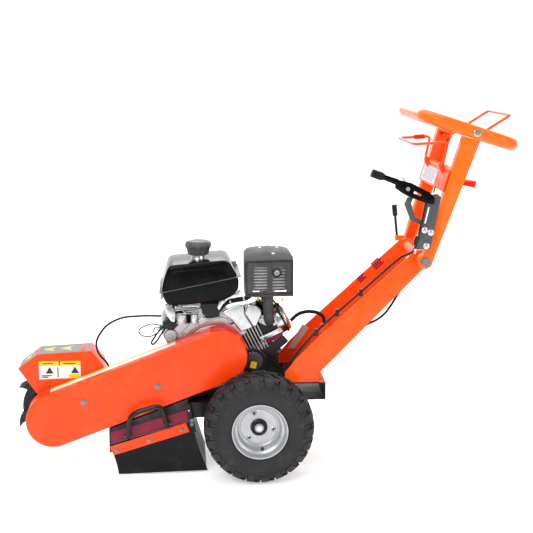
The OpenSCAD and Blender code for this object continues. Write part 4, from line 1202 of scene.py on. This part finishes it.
def make_handle_details():
    keep("lever_plate_round_bolts", "handle_bolts", ZINC,
         *[lathe([(0, 0), (12.6, 0), (12.6, 2), (11, 4.4), (7, 6.2), (0, 6.8)], 32,
                 place(x, -232, z)) for x, z in set_back((599, 858), (614, 907), (591, 916))],
         replaces=True)
    x, z = set_back((767, 1266))[0]
    keep("loop_end_caps", "handle_bolts", SHEET_ALU,
         *[lathe([(0, 0), (13.5, 0), (13.5, 1.4), (11, 3.2), (0, 3.9)], 32,
                 place(x, s * 260.4, z, along=(0, s, 0))) for s in (-1, 1)])
    keep("clutch_rod_and_boot", "lever_plate", CABLE_SHEATH,
         rod((603, -236, 1018), (592, -236, 960), 3.4, 16),
         rod((592, -236, 960), (578, -234, 896), 3.4, 16),
         lathe([(0, 0), (5, 0), (8, 14), (8.4, 30), (6, 34), (0, 34)], 24,
               place(567, -226, 862, along=(10, -8, 33))),
         rod((632, -224, 1050), (638, -224, 1074), 2.4, 12, 0.6))
    keep("lever_return_pin", "lever_plate", ZINC,
         rod((532, -219, 1088), (517, -219, 1106), 2.6, 12, 0.6))
    keep("clutch_cable_ferrule", "clutch_cable", ZINC,
         rod((574, -206, 846), (575, -196, 826), 6.4, 20, 1.2), body="handle")
    # Painted shade: an orange tab in shade behind the near leg, drawn in red.
    keep("handle_side_tab", "handle_frame", RED_PAINT_AND_PAINTED_SHADE,
         slab([(734, 1099.4), (792.2, 1087.6), (787.2, 1064.2), (732, 1076.4)],
              -206, -200.2, 1.4))


def make_lever_grip():
    """The ribbed grip and its tapered socket, along the leaning clutch lever."""
    lean = math.radians(70)
    turn = place(490.5 + HANDLE_SETBACK, -237, 1090, along=(-math.sin(lean), 0, math.cos(lean)))
    profile = [(8.1, 60), (13, 60), (14.8, 62)]
    for k in range(6):
        z = 64.5 + 5.4 * k
        profile += [(15, z), (15, z + 3.4), (13.6, z + 4), (13.6, z + 4.8)]
    profile += [(15, 98), (14.6, 101), (12, 102), (8.1, 102)]
    keep("lever_grip_ribbed", "lever_grip", GRIP_RUBBER, lathe(profile, 40, turn),
         lathe([(0, 88), (8.05, 88), (12.5, 101), (9, 101.6), (0, 101.8)], 32, turn),
         replaces=True)
    keep("clutch_lever_socket", "clutch_lever", BLACK_GLOSS,
         lathe([(0, 2), (11.5, 2), (10.4, 20), (9.6, 52), (12.6, 56), (12.6, 60), (0, 60)], 32,
               turn))
    keep("clutch_lever_small_hole", "clutch_lever", GREY_PLASTIC,
         lathe([(0, 0), (7.5, 0), (7.5, 0.4), (0, 0.4)], 24, place(536, -241, 1066)))


def make_bail(name, *points):
    """A bent rod, drawn from the near pivot to its middle and mirrored to the far one."""
    half = set_back(*points)
    keep(f"{name}_rod", name, ORANGE_ROD,
         tube(half + [(x, -y, z) for x, y, z in reversed(half)], BAIL_R, 18, 18, 8), replaces=True)


make_panel_labels()
make_handle_details()
make_lever_grip()
make_bail("front_bail", (668, -120, 1140), (668, -155, 1140), (686, -155, 1226),
          (563, -155, 1219))
make_bail("rear_bail", (757, -215, 1222), (757, -158, 1222), (790, -155, 1246),
          (912, -155, 1322))
keep("front_bail_sleeve", "front_bail", RED_PAINT_AND_PAINTED_SHADE,
     rod(*set_back((622, 155, 1222.3), (664, 155, 1224.7)), 9, 28, 2))

# ---------------- floor, light and camera


def make_stage():
    """A white floor that curves up into a wall behind the machine."""
    size, back, rise, radius = 9.0, 5.5, 7.0, 2.4
    profile = [(-size, 0.0), (back - radius, 0.0)]
    for k in range(1, 13):
        t = math.pi / 2 * k / 12
        profile.append((back - radius + radius * math.sin(t), radius * (1 - math.cos(t))))
    profile.append((back, rise))
    bm = bmesh.new()
    rows = [[bm.verts.new((x, y, z)) for x in (-size, size)] for y, z in profile]
    for a, b in zip(rows, rows[1:]):
        bm.faces.new((a[0], a[1], b[1], b[0]))
    bmesh.ops.recalc_face_normals(bm, faces=bm.faces)
    mesh = bpy.data.meshes.new("studio_floor")
    bm.to_mesh(mesh)
    bm.free()
    for polygon in mesh.polygons:
        polygon.use_smooth = True
    g = Graph("studio_paper")
    base = g.ramp(g.noise(2.0), (0.0, (0.93, 0.93, 0.93, 1)), (1.0, (0.96, 0.96, 0.96, 1)))
    mesh.materials.append(g.surface({"Base Color": base, "Roughness": 0.9,
                                     "Emission Color": (1.0, 1.0, 1.0, 1.0),
                                     "Emission Strength": 0.4}))
    floor = bpy.data.objects.new("studio_floor", mesh)
    bpy.context.scene.collection.objects.link(floor)


def area_light(name, location, target, size, power):
    data = bpy.data.lights.new(name, "AREA")
    data.shape = "RECTANGLE"
    data.size, data.size_y = size
    data.energy = power
    lamp = bpy.data.objects.new(name, data)
    lamp.location = location
    lamp.rotation_euler = (Vector(target) - Vector(location)).to_track_quat("-Z", "Y").to_euler()
    bpy.context.scene.collection.objects.link(lamp)


def make_world():
    world = bpy.data.worlds.new("studio_world")
    world.use_nodes = True
    background = world.node_tree.nodes["Background"]
    background.inputs["Color"].default_value = (1.0, 1.0, 1.0, 1.0)
    background.inputs["Strength"].default_value = 0.5
    bpy.context.scene.world = world
    bpy.context.scene.view_settings.view_transform = "Standard"


def make_camera():
    data = bpy.data.cameras.new("photo_camera")
    data.lens = 80.1
    data.sensor_width = 36.0
    data.clip_end = 60.0
    camera = bpy.data.objects.new("photo_camera", data)
    camera.location = (-0.29948, -4.40607, 1.55421)
    camera.rotation_euler = (math.radians(79.655), 0.0, math.radians(-4.171))
    bpy.context.scene.collection.objects.link(camera)
    bpy.context.scene.camera = camera


make_stage()
area_light("key_softbox", (-1.6, -3.4, 2.9), (0, 0, 0.5), (2.4, 2.0), 100)
area_light("fill_softbox", (3.0, -2.6, 2.0), (0, 0, 0.6), (2.0, 2.4), 32)
area_light("top_softbox", (0.0, 0.3, 3.6), (0, 0, 0.4), (3.4, 2.6), 85)
area_light("back_softbox", (0.6, 3.2, 2.6), (0, 0, 0.6), (3.0, 2.0), 40)
make_world()
make_camera()

bpy.context.view_layer.update()
